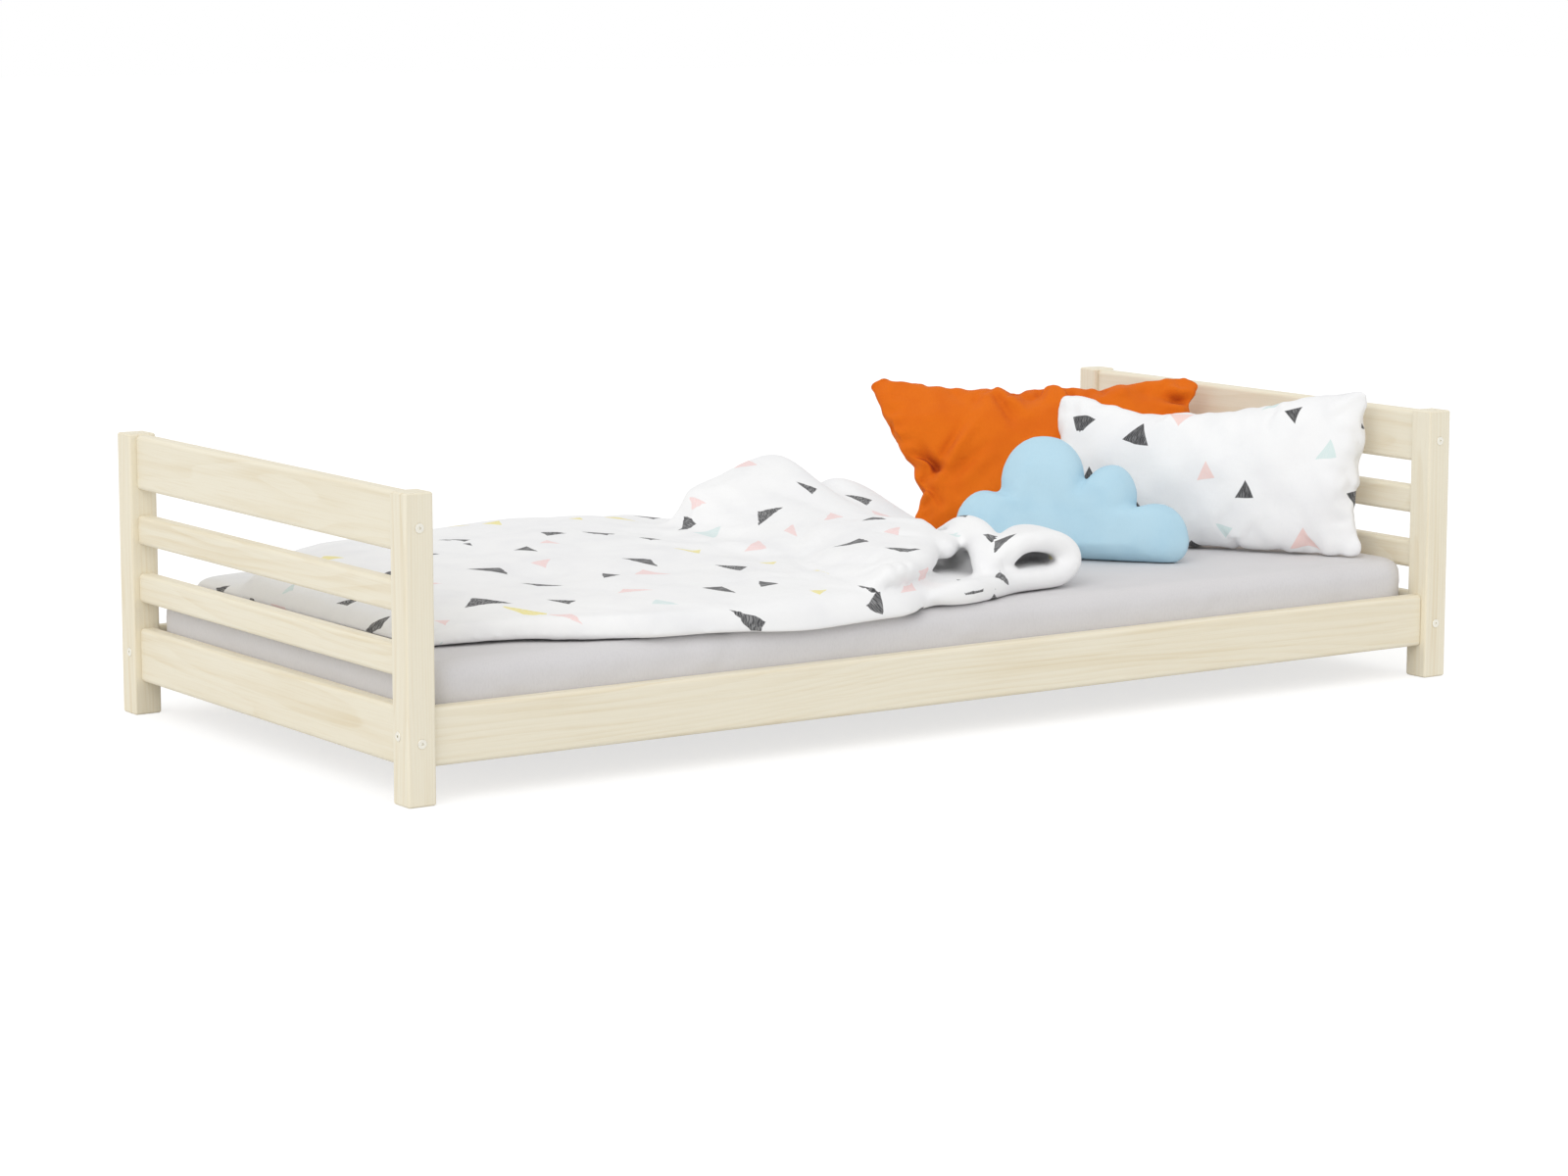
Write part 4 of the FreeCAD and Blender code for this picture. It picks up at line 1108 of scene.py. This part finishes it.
def cover(made, parts):
    """Gives each face corner its place on the cloth, from the nearest of the joined forms."""
    sides = []
    for _, points, faces, cloth in parts:
        two_sided = cloth[:, 0].max() > 2 or cloth[:, 2].any()
        for cut in np.split(faces, 2 if two_sided else 1):
            sides.append((BVHTree.FromPolygons(points.tolist(), cut.tolist()), points, cut, cloth))
    mesh = made.data
    own = mesh_points(mesh)
    centres = np.empty((len(mesh.polygons), 3))
    mesh.polygons.foreach_get("center", centres.ravel())
    best = np.full(len(centres), 1e9)
    owner = np.zeros(len(centres), int)
    for k, (tree, *_) in enumerate(sides):
        far = np.array([tree.find_nearest(c)[3] or 0.0 for c in centres])
        closer = far < best - 0.0004
        best[closer], owner[closer] = far[closer], k
    places = np.zeros((len(mesh.loops), 3))
    known = {}
    for face in mesh.polygons:
        k = owner[face.index]
        tree, points, faces, cloth = sides[k]
        for loop, vertex in zip(face.loop_indices, face.vertices):
            if (vertex, k) not in known:
                spot, _, number, _ = tree.find_nearest(own[vertex])
                away = norm(points[faces[number]] - np.array(spot), axis=1)
                weight = 1 / np.maximum(away, 1e-5) ** 2
                value = (cloth[faces[number]] * weight[:, None]).sum(0) / weight.sum()
                known[vertex, k] = value + np.array([0.19 * k, 0.11 * k, 0])
            places[loop] = known[vertex, k]
    give_fabric(made, places)


FLAP = (
    (-127, -446, 0), (-74, -426, 0), (-8, -384, 0), (44, -330, 0), (88, -274, 0), (124, -226, 0),
    (147, -186, 0), (168, -138, 0), (196, -92, 0.1), (220, -44, 0.4), (216, -6, 0.8), (180, 40, 1),
    (90, 90, 1), (-30, 60, 1), (-140, -60, 1), (-215, -220, 1), (-230, -350, 1), (-180, -436, 0.7),
)
ROLLS = {
    "ridge": (
        (224, -30, 242, 24, 18), (220, -90, 258, 24, 21), (206, -150, 277, 25, 23),
        (184, -218, 292, 27, 26), (170, -272, 290, 28, 26), (148, -318, 275, 27, 25),
        (127, -352, 256, 25, 20), (110, -374, 242, 20, 13)),
    "wall": (
        (236, -60, 232, 40, 22), (228, -130, 240, 44, 30), (212, -190, 246, 44, 34),
        (196, -240, 246, 40, 34), (180, -290, 238, 30, 24)),
    "bridge": (
        (78, -302, 277, 16, 16), (102, -268, 278, 24, 18), (132, -230, 278, 26, 18),
        (160, -190, 274, 26, 18)),
}
TURN = (
    (-60, 228, 20, -444, 62), (0, 228, 20, -447, 64), (50, 228, 20, -440, 66),
    (104, 227, 20, -418, 80), (150, 226, 19, -399, 120), (184, 226, 19, -393, 165),
    (224, 226, 19, -392, 185), (259, 229, 20, -391, 185), (283, 246, 20, -389, 185),
    (281, 268, 20, -386, 185), (256, 284, 20, -384, 185), (218, 290, 18, -382, 170),
    (184, 288, 18, -378, 130), (158, 276, 26, -370, 100), (130, 267, 24, -362, 70),
)
DUVET_FOLDS = (
    (-150, -400, -92, -392, -7, 7), (-118, -446, -96, -400, -8, 7), (-88, -440, -78, -404, -6, 6),
    (-132, -372, -84, -350, -5, 8), (-60, -400, -20, -350, -4, 10), (-20, -360, 20, -300, 4, 14),
    (60, -270, 10, -200, -5, 14), (140, -190, 70, -120, 4, 16), (-260, -300, -150, -330, 4, 26),
    (-420, -180, -250, -250, -4, 34), (-600, -350, -420, -300, 5, 40),
    (-700, -150, -480, -60, -5, 36), (-300, 40, -120, -40, 4, 30), (20, 170, 90, 60, -7, 26),
    (110, 230, 170, 90, 5, 26),
)


def duvet():
    parts = [
        quilt("slab", *duvet_slab()),
        lobe("flap", FLAP, 0.287, 0.304, puff=0.026, bottom=0.254, buried=0.232),
        *(roll(name, keys) for name, keys in ROLLS.items()),
        ribbon("turn", TURN, 20.0),
    ]
    bpy.ops.object.select_all(action="DESELECT")
    for made, *_ in parts:
        weld(made, 0.00002)
        made.select_set(True)
    whole = parts[0][0]
    bpy.context.view_layer.objects.active = whole
    bpy.ops.object.join()
    whole.name = "duvet_quilt"
    remesh(whole, DUVET_VOXEL)
    relax(whole, 2)
    cover(whole, parts)
    simulate(whole, 10, 1.2, cap=0.005, stiff=12.0, bend=1.0, quality=3)
    relax(whole, 1, 0.3)
    points = mesh_points(whole.data)
    x, y, z = points.T
    rise = smooth_step(z, BED_TOP + 0.03, BED_TOP + 0.055)
    points[:, 2] += (0.0026 * waves(51, 10, 0.10, 0.32)(x, y) * rise
                     + folds(x, y, DUVET_FOLDS) * rise)
    over = np.clip((-0.432 - y) / 0.04, 0, 1)
    sag = over ** 2 * (0.010 + 0.010 * np.exp(-((x + 0.31) / 0.10) ** 2))
    points[:, 2] -= sag * (x < 0.2) * (x > -0.62)
    lowest = BED_TOP + 0.0006 - np.where(y < -0.440, sag, 0)
    points[:, 2] = np.maximum(points[:, 2], lowest)
    set_points(whole, points)
    dress(whole, cotton(
        "duvet_cotton", *WHITES, crease=0.0022, crease_scale=16.0,
        printed=(0.126, 0.108, 0.05, INKS, 0.4)))
    smoothed(whole)
    subdivide(whole)
    return whole


duvet_piece = duvet()
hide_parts("duvet")
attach(duvet_piece, "duvet")


# ---- stage, light and camera
WHITE_LIGHT = (1.0, 1.0, 1.0, 1.0)
SEEN = ("Is Camera Ray", "Is Glossy Ray", "Is Transmission Ray")


def grey(level):
    return (level, level, level, 1.0)


def only_seen(g, lit, seen):
    """Mixes two shaders: one for what is seen or mirrored, the other for what lights."""
    path = g.node("LightPath").outputs
    camera, glossy, glass = (Wire(g, path[name]) for name in SEEN)
    either = camera.most(glossy).most(glass)
    return g.wire("MixShader", {0: either, 1: lit, 2: seen})


g = Graph("studio", "worlds")
lit, seen = (
    g.wire("Background", {"Color": WHITE_LIGHT, "Strength": strength}) for strength in (0.79, 1.0))
scene.world = g.surface(only_seen(g, lit, seen), "OutputWorld")

FLOOR = 40.0
floor = new_object(
    "floor", [(x * FLOOR, y * FLOOR, -0.0005) for x, y in ((-1, -1), (1, -1), (1, 1), (-1, 1))],
    [(0, 1, 2, 3)])
g = Graph("pale_floor")
plain, shadowed = (g.wire("BsdfDiffuse", {"Color": grey(level)}) for level in (0.82, 0.42))
glow = g.wire("Emission", {"Color": WHITE_LIGHT, "Strength": 0.70})
both = g.wire("AddShader", {0: shadowed, 1: glow})
dress(floor, g.surface(only_seen(g, plain, both)))

key = configure(bpy.data.lights.new("key", "SUN"), energy=0.95, angle=math.radians(50))
lamp = bpy.data.objects.new("key", key)
lamp.rotation_mode = "QUATERNION"
lamp.rotation_quaternion = Vector((0.66, 0.50, -0.62)).to_track_quat("-Z", "Y")
scene.collection.objects.link(lamp)

CAMERA_AT = (-3.9138, -5.6990, 1.2227)
YAW, PITCH, ROLL = (math.radians(a) for a in (34.242, 8.555, 0.032))
SENSOR = 36.0
FOCAL_PIXELS, PHOTO_WIDTH = 4155.17, 1600
ahead = Vector((
    math.sin(YAW) * math.cos(PITCH), math.cos(YAW) * math.cos(PITCH), -math.sin(PITCH)))
right = Vector((math.cos(YAW), -math.sin(YAW), 0))
up = right.cross(ahead)
right, up = (right * math.cos(ROLL) + up * math.sin(ROLL),
             up * math.cos(ROLL) - right * math.sin(ROLL))
lens = configure(
    bpy.data.cameras.new("camera"), sensor_width=SENSOR,
    lens=FOCAL_PIXELS / PHOTO_WIDTH * SENSOR, clip_start=0.1, clip_end=200.0)
camera = bpy.data.objects.new("camera", lens)
camera.matrix_world = (
    Matrix.Translation(CAMERA_AT) @ Matrix((right, up, -ahead)).transposed().to_4x4())
scene.collection.objects.link(camera)
scene.camera = camera
scene.view_settings.view_transform = "Standard"
